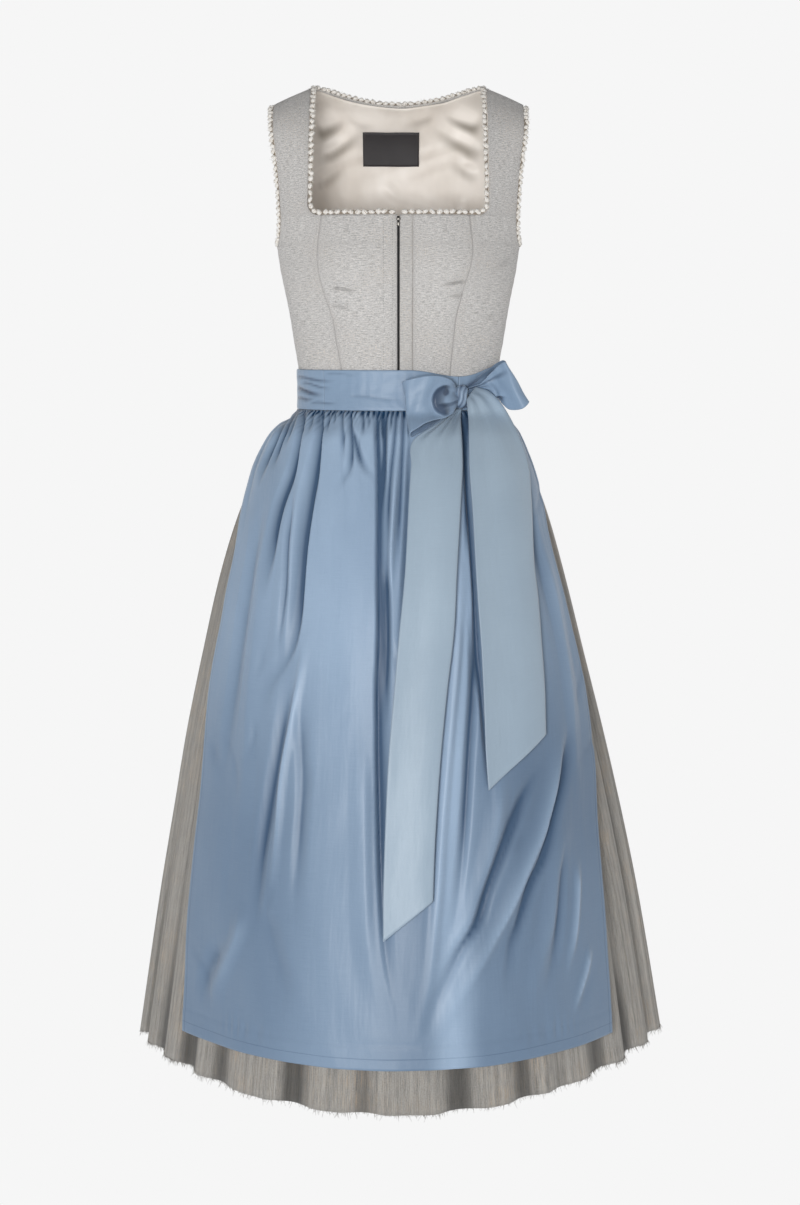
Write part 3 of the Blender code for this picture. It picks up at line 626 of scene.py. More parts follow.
def worn(share, angle, row, width):
    """A bodice panel's outer face, with its creases, the ripple along its seams and its rolled edges."""
    x, _ = ring(BODICE, angle, row)
    level = read(BODICE, "level", row)
    from_edge = np.minimum(share, 1 - share) * width
    wander = 2 * np.sin(level / RIPPLE_WANDER)
    ripple = RIPPLE_HEIGHT * np.sin(level / RIPPLE_PITCH + wander) * np.exp(-from_edge / RIPPLE_REACH)
    roll = SEAM_ROLL * np.exp(-((from_edge / ROLL_WIDTH) ** 2))
    soft = SOFTNESS * np.sin(x * 61 + level * 23) * np.sin(level * 47 - x * 17)
    return bodice(angle, row, soft + ripple - roll - creases(BODICE_CREASES, x, level))


def creased_shade(place):
    """The painted shade of a panel, from its own place(across, row): in its creases, towards the +X side and
    along the two lines of the turned edge.
    """

    def painted_shade(across, row):
        point = place(across, row)
        x, level = point[..., 0], point[..., 2]
        # Painted shade in the creases, on the +X side and along the turned edge's two lines of stitches.
        dark, start, width = SIDE_SHADE
        aside = dark * ease((x - start) / width)
        turned = TURNED_SHADE[0] * bell(x + TURNED_EDGE, TURNED_WIDTH)
        turned = turned + TURNED_SHADE[1] * bell(x + 0.4 * TURNED_EDGE, TURNED_WIDTH)
        return creases(BODICE_CREASES, x, level + 0.002) / CREASE_DARK + aside + turned

    return painted_shade


def front_left(across, row):
    """The left front panel, from its curved seam to the closure."""
    share = crowded(across)
    outer = princess_angle(LEFT_SEAM, row) - seam_angle(row)
    return worn(share, -mix(outer, angle_of(CLOSURE_HALF, row), share), row, WIDE_PANEL)


def front_right(across, row):
    """The right front panel, from the placket to its curved seam."""
    share = crowded(across)
    inner = angle_of(PLACKET_EDGE, row) + seam_angle(row)
    outer = princess_angle(RIGHT_SEAM, row) - seam_angle(row)
    return worn(share, mix(inner, outer, share), row, NARROW_PANEL)


def side_left(across, row):
    """The left side front and strap, from the armhole to the curved seam."""
    share = crowded(1 - across)
    angle = mix(side_front_start(LEFT_SEAM, row), armhole_angle(row), share)
    return worn(share, -angle, row, NARROW_PANEL)


def side_right(across, row):
    """The right side front and strap, from the curved seam to the armhole."""
    share = crowded(across)
    angle = mix(side_front_start(RIGHT_SEAM, row), armhole_angle(row), share)
    return worn(share, angle, row, NARROW_PANEL)


FRONT_CUT = (0.10, 0.225)
SIDE_CUT = (0.085, 0.41)
for node, place, rows, cut, columns in (
    ("bodice_front_left", front_left, FRONT_ROWS, FRONT_CUT, 46),
    ("bodice_front_right", front_right, FRONT_ROWS, (0.085, 0.225), 40),
    ("bodice_side_front_left", side_left, SIDE_ROWS, SIDE_CUT, 34),
    ("bodice_side_front_right", side_right, SIDE_ROWS, SIDE_CUT, 34),
):
    panel = cut_cloth(
        node + "_cloth", columns, rows, place, CLOTH_WALL, cut, [bodice_linen, bodice_satin],
        creased_shade(place),
    )
    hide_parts(node)

# ---- Front closure --------------------------------------------------------------------------------------
# The two centre fronts meet over hooks and eyes that are sewn to a black tape behind them. The wearer's
# left edge has a facing strip, and the other is turned back and held by two rows of stitches. A brass hook
# closes the neck.
TAPE_HALF = 0.011
TAPE_WALL = 0.001
PLACKET_WIDTH = 0.016
STITCH_ROWS_X = (-0.0185, -0.0072)  # rows of stitches on the turned edge
STITCHED_LEVELS = (-0.372, -0.167)
STITCH_PITCH = 0.0031
STITCH_SIZE = (0.0021, 0.00042)  # length and thickness
HOOK_LEVELS = (-0.1685, -0.1745)
HOOK_WIRE = 0.00055


def placket_place(across, row):
    """The placket, from the closure to its own seam."""
    share = crowded(across)
    outer = angle_of(PLACKET_EDGE, row) - seam_angle(row)
    return worn(share, mix(angle_of(CLOSURE_HALF, row), outer, share), row, PLACKET_WIDTH)


def tape_place(across, row):
    """The hook tape, just inside the edges of both fronts."""
    half = angle_of(TAPE_HALF, row)
    return bodice(mix(-half, half, across), row, -CLOTH_WALL - SEAM_GAP)


def tape_weave(name):
    """Black cotton tape with a fine rib across it."""
    made, shader, start = new_finish(name, {"Roughness": 0.85})
    cut = cut_of(start)
    along = cut.part("Y") * 4200
    rib = start.maths("SINE", along) * 0.5 + 0.5
    link(rib.ramp((0.0, (16, 15, 16)), (1.0, (38, 37, 38))), shader, "Base Color")
    link(raised(rib, 0.0002, 0.6), shader, "Normal")
    return made


def stitched(name, points, outs, finish, size=STITCH_SIZE):
    """A row of stitches: one low bead of thread for each point, along the line and proud of the cloth."""
    bm = bmesh.new()
    for index in range(len(points) - 1):
        along = Vector(points[index + 1]) - Vector(points[index])
        out = Vector(outs[index]).normalized()
        side = along.cross(out).normalized()
        turned = Matrix((along.normalized(), side, out)).transposed().to_4x4()
        middle = (Vector(points[index + 1]) + Vector(points[index])) / 2
        stretched = Matrix.Diagonal((size[0] / 2, size[1] / 2, size[1] / 2, 1))
        bmesh.ops.create_icosphere(
            bm, subdivisions=1, radius=1.0, matrix=Matrix.Translation(middle) @ turned @ stretched
        )
    made = shown(name, meshed(name, bm), finish)
    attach(made, "root")
    return made


def thread(name, shade):
    """Spun sewing thread, a little shiny."""
    made, shader, start = new_finish(name, {"Roughness": 0.6})
    place = spot_of(start)
    twist = place.noise(2600.0, 2.0, 0.6)
    darker = tuple(0.8 * part for part in shade)
    link(twist.ramp((0.3, darker), (0.7, shade)), shader, "Base Color")
    return made


# A darker copy of the bodice's linen: its lower main colour is painted shade on the facing strip.
placket_linen = linen("placket_linen", (224, 222, 219), (160, 158, 156), (212, 200, 186), True)
placket = cut_cloth(
    "front_placket_cloth", 14, FRONT_ROWS, placket_place, CLOTH_WALL, (0.0165, 0.225),
    [placket_linen, bodice_satin],
)
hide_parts("front_placket")

tape_rows = np.append(FRONT_ROWS[:-1], NECK_ROW - 0.05)
tape = cut_cloth(
    "hook_tape_cloth", 8, tape_rows, tape_place, TAPE_WALL, (0.022, 0.225), [tape_weave("tape_black")]
)
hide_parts("hook_tape")

grey_thread = thread("grey_thread", (128, 125, 122))
stitch_levels = np.arange(*STITCHED_LEVELS, STITCH_PITCH)
stitch_rows = row_at(stitch_levels)
for name, x in zip(("outer", "inner"), STITCH_ROWS_X):
    angles = -angle_of(-x, stitch_rows)
    lines = [bodice(angles, stitch_rows, lift) for lift in (0.0001, 0.002)]
    row = stitched("front_stitches_" + name, lines[0], lines[1] - lines[0], grey_thread)

hook_bm = bmesh.new()
for level, half_width, reach in zip(HOOK_LEVELS, (0.0028, 0.0020), (0.0022, 0.0030)):
    row = row_at(level)
    seat = Vector(bodice(np.array(0.0), row, 0.0002))
    bmesh.ops.create_uvsphere(
        hook_bm, u_segments=12, v_segments=8, radius=1.0,
        matrix=Matrix.Translation(seat) @ Matrix.Diagonal((half_width, HOOK_WIRE * 1.6, reach, 1)),
    )
brass, brass_shader, brass_start = new_finish("dull_metal", {"Metallic": 1.0})
tarnish = spot_of(brass_start).noise(900.0, 3.0, 0.6)
link(tarnish.ramp((0.3, (96, 92, 88)), (0.7, (168, 164, 158))), brass_shader, "Base Color")
link(tarnish * 0.3 + 0.25, brass_shader, "Roughness")
hook = shown("neck_hook", meshed("neck_hook", hook_bm), brass)
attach(hook, "root")

# ---- Back, its lining and the label -----------------------------------------------------------------------
# The back is one panel with two darts, and its strap ends meet the front's on the shoulder. It is lined with
# cream satin that lies loose, so it ripples below the neck. The woven label is sewn to the lining and bare.
BACK_NECK_ROW = 11
BACK_COLUMNS = 88
NECK_SHARE = 14 / 22  # the share of the back's width between the straps
YOKE_ROW = 9
LINING_INSET = 0.025
LINING_CLEAR = 0.0012
LINING_WALL = 0.001
DART_X = (0.050, 0.062)  # at the waist and at the top
DART_TOP = -0.20
DART_HALF = 0.0022
CORNER_SHADE = 0.30  # painted shade in the lining's upper corners, below the shoulders
RIPPLE_DARK = (0.0080, 0.014)  # a ripple this deep gets the most painted shade on one side, and the most painted light on its other side
LABEL_LEFT = 0.047
LABEL_RIGHT = 0.027
LABEL_TOP = -0.046
LABEL_FOOT = -0.0905
LABEL_CLEAR = 0.0013
# Ripples in the loose lining.
LINING_RIPPLES = table(
    "x level end_x end_level depth width",
    (-0.110, -0.046, -0.066, -0.026, 0.0060, 0.0160),
    (-0.104, -0.086, -0.038, -0.030, 0.0046, 0.0130),
    (-0.110, -0.118, -0.070, -0.084, 0.0048, 0.0130),
    (-0.070, -0.026, -0.020, -0.040, 0.0022, 0.0100),
    (0.110, -0.040, 0.050, -0.020, 0.0056, 0.0130),
    (0.110, -0.076, 0.038, -0.032, 0.0050, 0.0140),
    (0.106, -0.108, 0.066, -0.078, 0.0036, 0.0120),
    (0.048, -0.020, -0.002, -0.040, 0.0024, 0.0100),
    (-0.020, -0.110, 0.010, -0.150, 0.0016, 0.0120),
    (-0.090, -0.125, -0.060, -0.190, 0.0022, 0.0100),
    (0.085, -0.120, 0.070, -0.185, 0.0022, 0.0100),
)


def back_place(across, row):
    """The angle and row on the back at a share of its width, from +X to -X."""
    out = np.abs(2 * across - 1)
    low_edge = armhole_angle(row)
    top = mix(BACK_NECK_ROW, RIDGE_END, np.minimum(out / NECK_SHARE, 1.0) ** 2)
    high_row = mix(YOKE_ROW, top, (row - YOKE_ROW) / (RIDGE_ROW - YOKE_ROW))
    strap, edge = angle_of(STRAP_INSIDE, high_row), armhole_angle(high_row)
    beyond = (out - NECK_SHARE) / (1 - NECK_SHARE)
    spread = np.where(out < NECK_SHARE, strap * out / NECK_SHARE, mix(strap, edge, beyond))
    high_angle = mix(edge * out, spread, ease((high_row - YOKE_ROW) / 1.5))
    high = row > YOKE_ROW
    angle = np.where(high, high_angle, low_edge * out)
    return 180 + np.copysign(angle, across - 0.5), np.where(high, high_row, row)


def back_cloth(across, row):
    """The bodice's back, a little uneven, with a dart on each side."""
    angle, row = back_place(across, row)
    x, _ = ring(BODICE, angle, row)
    level = read(BODICE, "level", row)
    dart = bell(np.abs(x) - mix(*DART_X, ease((level + 0.38) / 0.18)), DART_HALF)
    dart = dart * ease((DART_TOP - level) / 0.02)
    soft = 0.0006 * np.sin(x * 47 - level * 31) * np.sin(level * 41 + x * 13)
    return bodice(angle, row, soft - SEAM_ROLL * dart)


def lining_place(across, row):
    """The angle, row and x at a place on the lining, and its level."""
    angle, row = back_place(np.clip(across, LINING_INSET, 1 - LINING_INSET), row)
    return angle, row, ring(BODICE, angle, row)[0], read(BODICE, "level", row)


def lining_cloth(across, row):
    """The lining, loose inside the bodice and rippled."""
    angle, row, x, level = lining_place(across, row)
    loose = creases(LINING_RIPPLES, x, level) + 0.0006 * (1 + np.sin(x * 90 + 8 * np.sin(level * 40)))
    return bodice(angle, row, -CLOTH_WALL - LINING_CLEAR - loose * ease((RIDGE_ROW - 0.2 - row) / 0.5))


def lining_painted_shade(across, row):
    """Painted shade beside the ripples and up in the corners below the shoulders."""
    _, _, x, level = lining_place(across, row)
    corners = CORNER_SHADE * ease((np.abs(x + 0.004) - 0.062) / 0.05) * ease((level + 0.115) / 0.06)
    beside = creases(LINING_RIPPLES, x, level + 0.008) / RIPPLE_DARK[0]
    beside = beside - creases(LINING_RIPPLES, x, level - 0.008) / RIPPLE_DARK[1]
    return corners + beside * ease((level + 0.13) / 0.04)


def label_cloth(across, level):
    """The label, on the lining's inner face."""
    row = row_at(level)
    angle = 180 - mix(angle_of(LABEL_RIGHT, row), -angle_of(LABEL_LEFT, row), across)
    x, _ = ring(BODICE, angle, row)
    loose = creases(LINING_RIPPLES, x, level) * 0.4 + 0.0004 * np.sin(x * 150 + level * 60)
    return bodice(angle, row, -CLOTH_WALL - LINING_CLEAR - LINING_WALL - LABEL_CLEAR - 0.0012 - loose)


def label_weave(name):
    """A dense black satin weave."""
    made, shader, start = new_finish(name, {"Sheen Weight": 0.1})
    cut = cut_of(start)
    weft = start.maths("SINE", cut.part("Y") * 9000)
    warp = start.maths("SINE", cut.part("X") * 6000)
    weave = weft * warp * 0.5 + 0.5
    link(weave.ramp((0.0, (40, 38, 40)), (1.0, (58, 55, 57))), shader, "Base Color")
    link(weave * 0.15 + 0.5, shader, "Roughness")
    link(raised(weave, 0.0001, 0.6), shader, "Normal")
    return made


back_rows = np.concatenate([np.linspace(0, 6, 61), np.linspace(6.03, RIDGE_ROW, 72)])
back = cut_cloth(
    "bodice_back_cloth", BACK_COLUMNS, back_rows, back_cloth, CLOTH_WALL, (0.44, 0.39), [bodice_linen]
)
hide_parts("bodice_back")

# A paler copy of the panels' cream satin: its higher base colours are painted light inside the back, and the
# last colour is its painted shade.
lining_satin = satin("lining_satin", (252, 245, 237), (232, 223, 213), (128, 120, 106))
lining_rows = np.concatenate([[0.08], back_rows[1:-1], [RIDGE_ROW - 0.1]])
lining = cut_cloth(
    "lining_cloth", BACK_COLUMNS, lining_rows, lining_cloth, LINING_WALL, (0.42, 0.38), [lining_satin],
    lining_painted_shade,
)
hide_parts("bodice_back_lining")

label = cut_cloth(
    "label_cloth", 24, np.linspace(LABEL_FOOT, LABEL_TOP, 16), label_cloth, LINING_WALL, (0.074, 0.0445),
    [label_weave("label_black")],
)
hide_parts("label")

# ---- Ruched braid ---------------------------------------------------------------------------------------
# A cream cotton ribbon, gathered by a thread every few millimetres so that it puffs into a row of small
# knots. It is sewn along the neckline and round each armhole, and its raw edge frays outwards.
BRAID_RADIUS = 0.0027
BRAID_CLEAR = 0.0005
BRAID_END = 0.004
NECK_PITCH = 0.0084
ARM_PITCH = 0.0072
RIBBON_WIDTH = 0.0050
RIBBON_WALL = 0.0003
BRAID_PUFF = 0.0036  # half a puff's width
FRAY_LENGTH = 0.0036
FRAYS_A_PUFF = 5


def braid_line(angles, rows, closed):
    """The braid's middle line beside an edge, with the cloth on its left, and the cloth's outward way."""
    faces, outs = (bodice(angles, rows, lift) for lift in (-CLOTH_WALL / 2, CLOTH_WALL / 2))
    if closed:
        run = np.roll(faces, -1, axis=0) - np.roll(faces, 1, axis=0)
    else:
        run = np.gradient(faces, axis=0)
    out = (outs - faces) / CLOTH_WALL
    aside = np.cross(run, out)
    aside /= np.linalg.norm(aside, axis=1, keepdims=True)
    return faces + aside * (BRAID_RADIUS + BRAID_CLEAR), out, aside


def copied(bm, count):
    """Fills a bmesh with count copies of what it holds, one after another."""
    one, so_far = (bpy.data.meshes.new("copies") for _ in range(2))
    bm.to_mesh(one)
    bm.clear()
    bm.from_mesh(one)
    for bit in f"{count:b}"[1:]:
        bm.to_mesh(so_far)
        bm.from_mesh(so_far)
        if bit == "1":
            bm.from_mesh(one)
    for scratch in (one, so_far):
        bpy.data.meshes.remove(scratch)


def ruched(name, angles, rows, closed, pitch, finish):
    """Puffs of the gathered ribbon along an edge, on the ribbon itself, with threads that fray outwards."""
    line, out, aside = braid_line(angles, rows, closed)
    if closed:
        line, out, aside = (np.vstack([rowed, rowed[:1]]) for rowed in (line, out, aside))
    lengths = np.append(0, np.cumsum(np.linalg.norm(np.diff(line, axis=0), axis=1)))
    puffs = round(lengths[-1] / pitch)
    chance = np.random.default_rng(len(name))

    def along_line(at):
        middle, normal, away = (
            np.stack([np.interp(at, lengths, column) for column in rowed.T], axis=-1)
            for rowed in (line, out, aside)
        )
        return middle, normal, away, np.cross(away, normal)

    def placed(bm, at, shape):
        """Puts each copy in a bmesh at its place on the line. shape gives a copy's points from its own."""
        middle, normal, away, ahead = along_line(at)
        one = len(bm.verts) // len(at)
        points = np.array([vert.co for vert in bm.verts]).reshape(len(at), one, 3)
        points = shape(points)
        frames = np.stack([ahead, away, normal], axis=1)
        points = middle[:, None] + np.einsum("kpi,kij->kpj", points, frames)
        for vert, point in zip(bm.verts, points.reshape(-1, 3)):
            vert.co = point

    def puffed(points):
        each = chance.uniform(-1, 1, (len(points), 1, 6))
        x, y, z = (points[..., axis] for axis in range(3))
        pinch = 1 - 0.62 * np.abs(x) ** 2
        gathers = 1 + 0.16 * np.sin(7 * y + 5 * x + 4 * each[..., 0])
        x, y = x + 0.30 * each[..., 1] * y, y + 0.25 * each[..., 2] * x
        wide = BRAID_PUFF * (1 + 0.18 * each[..., 3]) * pinch * gathers
        tall = 0.72 * BRAID_PUFF * (1 + 0.15 * each[..., 4]) * pinch * gathers
        return np.stack([x * pitch * 0.50, y * wide + 0.0006 * (1 + each[..., 5]), z * tall], axis=-1)

    def frayed(points):
        """Threads: thin cones that lean at random, out from the braid's outer side."""
        each = chance.uniform(-1, 1, (len(points), 1, 5))
        reach = FRAY_LENGTH * (0.25 + 0.75 * each[..., 0] ** 2)
        out_by = (points[..., 2] + 0.5) * reach
        x = points[..., 0] + out_by * 0.8 * each[..., 1] + 0.4 * pitch * each[..., 4]
        z = points[..., 1] + out_by * 0.7 * each[..., 2] + 0.0012 * each[..., 3]
        return np.stack([x, out_by + 0.75 * BRAID_PUFF, z], axis=-1)

    ribbon_bm = bmesh.new()
    bmesh.ops.create_grid(ribbon_bm, x_segments=4, y_segments=6 * puffs, size=0.5)
    ways = np.array([vert.co for vert in ribbon_bm.verts])
    middle, normal, away, _ = along_line((ways[:, 1] + 0.5) * lengths[-1])
    pulled = 0.5 + 0.5 * np.cos(2 * np.pi * puffs * (ways[:, 1] + 0.5))
    middle += away * (ways[:, 0] * RIBBON_WIDTH * (1 - 0.2 * pulled))[:, None]
    middle += normal * (0.0005 * pulled * np.cos(9 * ways[:, 0]) - 0.0003)[:, None]
    for vert, point in zip(ribbon_bm.verts, middle):
        vert.co = point
    bmesh.ops.remove_doubles(ribbon_bm, verts=ribbon_bm.verts[:], dist=1e-6)
    bmesh.ops.solidify(ribbon_bm, geom=ribbon_bm.faces[:], thickness=RIBBON_WALL)

    puff_bm = bmesh.new()
    bmesh.ops.create_uvsphere(puff_bm, u_segments=10, v_segments=7, radius=1.0)
    copied(puff_bm, puffs)
    strewn = np.arange(puffs) + 0.5 + chance.uniform(-0.1, 0.1, puffs)
    placed(puff_bm, strewn / puffs * lengths[-1], puffed)

    fray_bm = bmesh.new()
    bmesh.ops.create_cone(fray_bm, segments=3, radius1=0.00026, radius2=0.00010, depth=1.0, cap_ends=True)
    copied(fray_bm, FRAYS_A_PUFF * puffs)
    placed(fray_bm, chance.uniform(0, lengths[-1], FRAYS_A_PUFF * puffs), frayed)

    mesh = bpy.data.meshes.new(name)
    on_ribbon = len(ribbon_bm.verts)
    for bm in (puff_bm, fray_bm):
        bm.to_mesh(mesh)
        bm.free()
        ribbon_bm.from_mesh(mesh)
    bmesh.ops.recalc_face_normals(ribbon_bm, faces=ribbon_bm.faces[:])
    ribbon_bm.to_mesh(mesh)
    ribbon_bm.free()
    # Painted shade on the ribbon between and under the puffs, kept as the attribute fold.
    shaded = np.arange(len(mesh.vertices)) < on_ribbon
    mesh.attributes.new("fold", "FLOAT", "POINT").data.foreach_set("value", shaded.astype(np.float32))
    made = shown(name, mesh, finish)
    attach(made, "root")
    return made


def ruched_cotton(name):
    """Cream cotton, with painted shade in the small folds of its gathers, and brown painted shade on the
    ribbon between its puffs.
    """
    made, shader, start = new_finish(name, {"Roughness": 0.8, "Sheen Weight": 0.2})
    place = spot_of(start)
    folds = place.noise(620.0, 3.0, 0.6)
    fibres = place.noise(2400.0, 2.0, 0.6)
    # The tan low end of the folds' noise, which is low in the bump, is painted shade in the small folds.
    tone = folds.ramp((0.34, (196, 182, 164)), (0.45, (240, 235, 227)), (0.60, (253, 251, 247)))
    # Painted shade on the ribbon, towards brown.
    link(tone.toned(read_painted_shade(start) * 0.85, (128, 112, 92)), shader, "Base Color")
    link(raised(folds * 0.7 + fibres * 0.3, 0.0012, 0.8), shader, "Normal")
    return made


braid_cotton = ruched_cotton("braid_cotton")
straight = NECK_HALF - NECK_CORNER - BRAID_END
neck_angles = np.concatenate([
    angle_of(BRAID_END + straight * np.arange(8) / 8, np.full(8, NECK_ROW)),
    neck_side_angle(STRAP_ROWS),
])
neck_rows = np.concatenate([np.full(8, NECK_ROW), STRAP_ROWS])
inner_columns = np.linspace((1 - NECK_SHARE) / 2, (1 + NECK_SHARE) / 2, 57)
back_angles, back_neck_rows = back_place(inner_columns, np.full(57, float(RIDGE_ROW)))
neck_braid = ruched(
    "neck_ruching",
    np.concatenate([neck_angles, back_angles, 360 - neck_angles[::-1]])[::-1],
    np.concatenate([neck_rows, back_neck_rows, neck_rows[::-1]])[::-1],
    False, NECK_PITCH, braid_cotton,
)
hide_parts("neck_braid")

above = SIDE_ROWS[SIDE_ROWS > SIDE_ROW]
behind = back_rows[back_rows > SIDE_ROW][::-1]
behind_angles, behind_rows = back_place(np.zeros(len(behind)), behind)
arm_angles = np.concatenate([[90.0], armhole_angle(above), behind_angles])
arm_rows = np.concatenate([[float(SIDE_ROW)], above, behind_rows])
for side, angles, rows in (("right", arm_angles, arm_rows), ("left", -arm_angles[::-1], arm_rows[::-1])):
    ruching = ruched("armhole_ruching_" + side, angles, rows, True, ARM_PITCH, braid_cotton)
    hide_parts("armhole_braid_" + side)

# ---- Skirt ----------------------------------------------------------------------------------------------
# Two halves of taupe linen, sewn at the sides and gathered into the waist seam, which fall in folds to the
# hem. A brush braid is sewn inside the hem, and its bristles stand out below it.
WAIST_LEVEL = -0.3775
HEM_LEVEL = -1.235
SIDE_RISE = 0.013
HEM_RISE_LEFT = 0.004
HEM_RISE_RIGHT = 0.010
BACK_FOLDS = 13
SKIRT = table(
    "level half front back shift fullness",
    (-1.235, 0.3430, 0.2980, 0.3000, 0.002, 1.50),
    (-1.100, 0.3220, 0.2760, 0.2810, 0.001, 1.42),
    (-1.020, 0.3085, 0.2620, 0.2700, 0.000, 1.37),
    (-0.920, 0.2895, 0.2440, 0.2550, -0.002, 1.30),
    (-0.820, 0.2695, 0.2250, 0.2390, -0.005, 1.24),
    (-0.720, 0.2465, 0.2030, 0.2210, -0.007, 1.18),
    (-0.620, 0.2225, 0.1800, 0.1990, -0.008, 1.10),
    (-0.540, 0.1990, 0.1560, 0.1750, -0.007, 1.04),
    (-0.480, 0.1745, 0.1330, 0.1470, -0.005, 0.98),
    (-0.445, 0.1545, 0.1160, 0.1220, -0.003, 0.94),
    (-0.420, 0.1375, 0.1030, 0.1020, -0.001, 0.92),
    (-0.403, 0.1275, 0.0930, 0.0860, 0.000, 0.90),
    (-0.378, 0.1262, 0.0885, 0.0800, 0.000, 0.90),
)
SKIRT_FOLDS = table(
    "angle width depth start",
    (-79.0, 6.5, 0.013, -0.44),
    (-66.0, 5.5, 0.010, -0.55),
    (-53.0, 6.0, 0.013, -0.50),
    (-42.0, 5.5, 0.011, -0.80),
    (-23.0, 6.5, 0.013, -0.70),
    (-7.4, 5.5, 0.009, -0.85),
    (12.6, 6.0, 0.012, -0.75),
    (27.0, 5.5, 0.011, -0.80),
    (36.0, 5.0, 0.007, -0.90),
    (48.0, 6.0, 0.012, -0.60),
    (61.0, 6.0, 0.012, -0.50),
    (75.0, 6.5, 0.013, -0.44),
    *(
        (
            90 + 180 * (fold + 0.5 + 0.18 * math.sin(2.3 * fold)) / BACK_FOLDS,
            6.0 + 0.7 * math.sin(1.7 * fold + 1),
            0.014 + 0.003 * math.sin(3.1 * fold),
            -0.40 - 0.05 * (fold % 3),
        )
        for fold in range(BACK_FOLDS)
    ),
)
# Narrower pleats between the folds, which only press inwards.
PLEATS_ROUND = 46
PLEAT_DEPTH = 0.0022
SKIRT_GATHERS = 150
SKIRT_GATHER_DEPTH = 0.0022
BRISTLES = 3600
THICK_TUFTS = ((-58, 9, 450), (57, 9, 450))  # the angle, the spread and the bristles of each
BRISTLE_SEAT = 0.0009  # inside the skirt's face
BRISTLE_ROOT = 0.0010  # up into the hem
BRISTLE_LEAN = (0.7, 0.5)
BRISTLE_LENGTH = (0.0022, 0.0095)


def skirt_valley(angle, level):
    """How deep the folds, the pleats and the gathers below the waist go at a place."""
    depth = np.zeros(np.broadcast(angle, level).shape)
    for middle, width, deepest, start in zip(*SKIRT_FOLDS.values()):
        away = (angle - middle + 180) % 360 - 180
        fallen = np.maximum(start - level, 0.0)
        opened = 0.45 * ease(fallen / 0.12) + 0.55 * fallen / (start - HEM_LEVEL)
        depth += deepest * opened * bell(away, width)
    down = np.clip((WAIST_LEVEL - level) / (WAIST_LEVEL - HEM_LEVEL), 0, 1)
    turn = np.radians(angle)
    phase = PLEATS_ROUND * turn + 2.2 * np.sin(5 * turn + 3 * down) + 1.5 * np.sin(11 * turn - 2 * down)
    depth += PLEAT_DEPTH * ease((down - 0.08) / 0.5) * (0.5 + 0.5 * np.cos(phase)) ** 2 * (
        0.55 + 0.45 * np.sin(7 * turn + 1.3)
    )
    near_waist = ease((WAIST_LEVEL - level) / 0.02) * ease(1 - (WAIST_LEVEL - level) / 0.13)
    packed = SKIRT_GATHERS * turn + 1.8 * np.sin(13 * turn) + 1.1 * np.sin(29 * turn + 1)
    return depth + SKIRT_GATHER_DEPTH * near_waist * (0.5 + 0.5 * np.cos(packed))


def skirt_place(angle, level, lift):
    """A point off the skirt's mean surface, whose hem is a little higher at the sides."""
    x, y = ring(SKIRT, angle, level, lift, read(SKIRT, "fullness", level))
    down = (WAIST_LEVEL - level) / (WAIST_LEVEL - HEM_LEVEL)
    rise = SIDE_RISE * np.sin(np.radians(angle)) ** 4 * down**2
    return np.stack([x + read(SKIRT, "shift", level), y, level + rise], axis=-1)


def skirt_face(angle, level, lift=0.0):
    """The skirt's outer face. Its own hem rises more than its mean surface from the middle to each side."""
    point = skirt_place(angle, level, lift - skirt_valley(angle, level))
    down = (WAIST_LEVEL - level) / (WAIST_LEVEL - HEM_LEVEL)
    turned = (angle + 180) % 360 - 180
    to_side = np.minimum(np.abs(turned), 180 - np.abs(turned))
    point[..., 2] += np.where(turned < 0, HEM_RISE_LEFT, HEM_RISE_RIGHT) * ease(to_side / 60) * down**2
    return point


def skirt_front(across, level):
    """The front half of the skirt, half a seam's gap before the middle."""
    return skirt_face(mix(-90, 90, across), level) - np.array([0, SEAM_GAP / 2, 0])


def skirt_back(across, level):
    """The back half of the skirt, half a seam's gap behind the middle."""
    return skirt_face(mix(90, 270, across), level) + np.array([0, SEAM_GAP / 2, 0])


def skirt_painted_shade(start):
    """The painted shade in the skirt's folds, on the half that starts at an angle, strongest near the front
    hem, and painted shade low on the -X side.
    """

    def painted_shade(across, level):
        angle = mix(start, start + 180, across)
        low = mix(0.5, ease((-level - 1.04) / 0.14), ease((80 - np.abs(angle)) / 20))
        side = ease((np.abs(angle) - 40) / 15) * np.copysign(1.0, -angle) * ease((-level - 0.90) / 0.25)
        folds = (skirt_valley(angle, level) - 0.003) / mix(0.024, 0.009, low)
        return folds + 0.22 * side * (np.abs(angle) < 95)

    return painted_shade


skirt_linen = linen("skirt_linen", (186, 183, 178), (98, 97, 94), (204, 178, 148), False, 0.35, 0.30)
chance = np.random.default_rng(7)
bristle_bm = bmesh.new()
bmesh.ops.create_cone(bristle_bm, segments=3, radius1=0.00012, radius2=0.00026, depth=1.0, cap_ends=True)
copied(bristle_bm, BRISTLES)
points = np.array([vert.co for vert in bristle_bm.verts]).reshape(BRISTLES, -1, 3)
thin = BRISTLES - sum(tuft[-1] for tuft in THICK_TUFTS)
angles = np.concatenate([chance.uniform(-180, 180, thin), *(chance.normal(*tuft) for tuft in THICK_TUFTS)])
seats = skirt_face(angles, np.full(BRISTLES, HEM_LEVEL), -BRISTLE_SEAT)
each = chance.uniform(-1, 1, (BRISTLES, 1, 3))
reach = mix(*BRISTLE_LENGTH, each[..., 0] ** 4)
down = (points[..., 2] - 0.5) * reach
aside = points[..., 0] - down * each[..., 1] * BRISTLE_LEAN[0]
out = points[..., 1] - down * each[..., 2] * BRISTLE_LEAN[1]
points = seats[:, None] + np.stack([aside, out, down + BRISTLE_ROOT], axis=-1)
for vert, point in zip(bristle_bm.verts, points.reshape(-1, 3)):
    vert.co = point
brush = shown("hem_brush", meshed("hem_brush", bristle_bm), thread("brush_yarn", (132, 126, 118)))
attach(brush, "root")

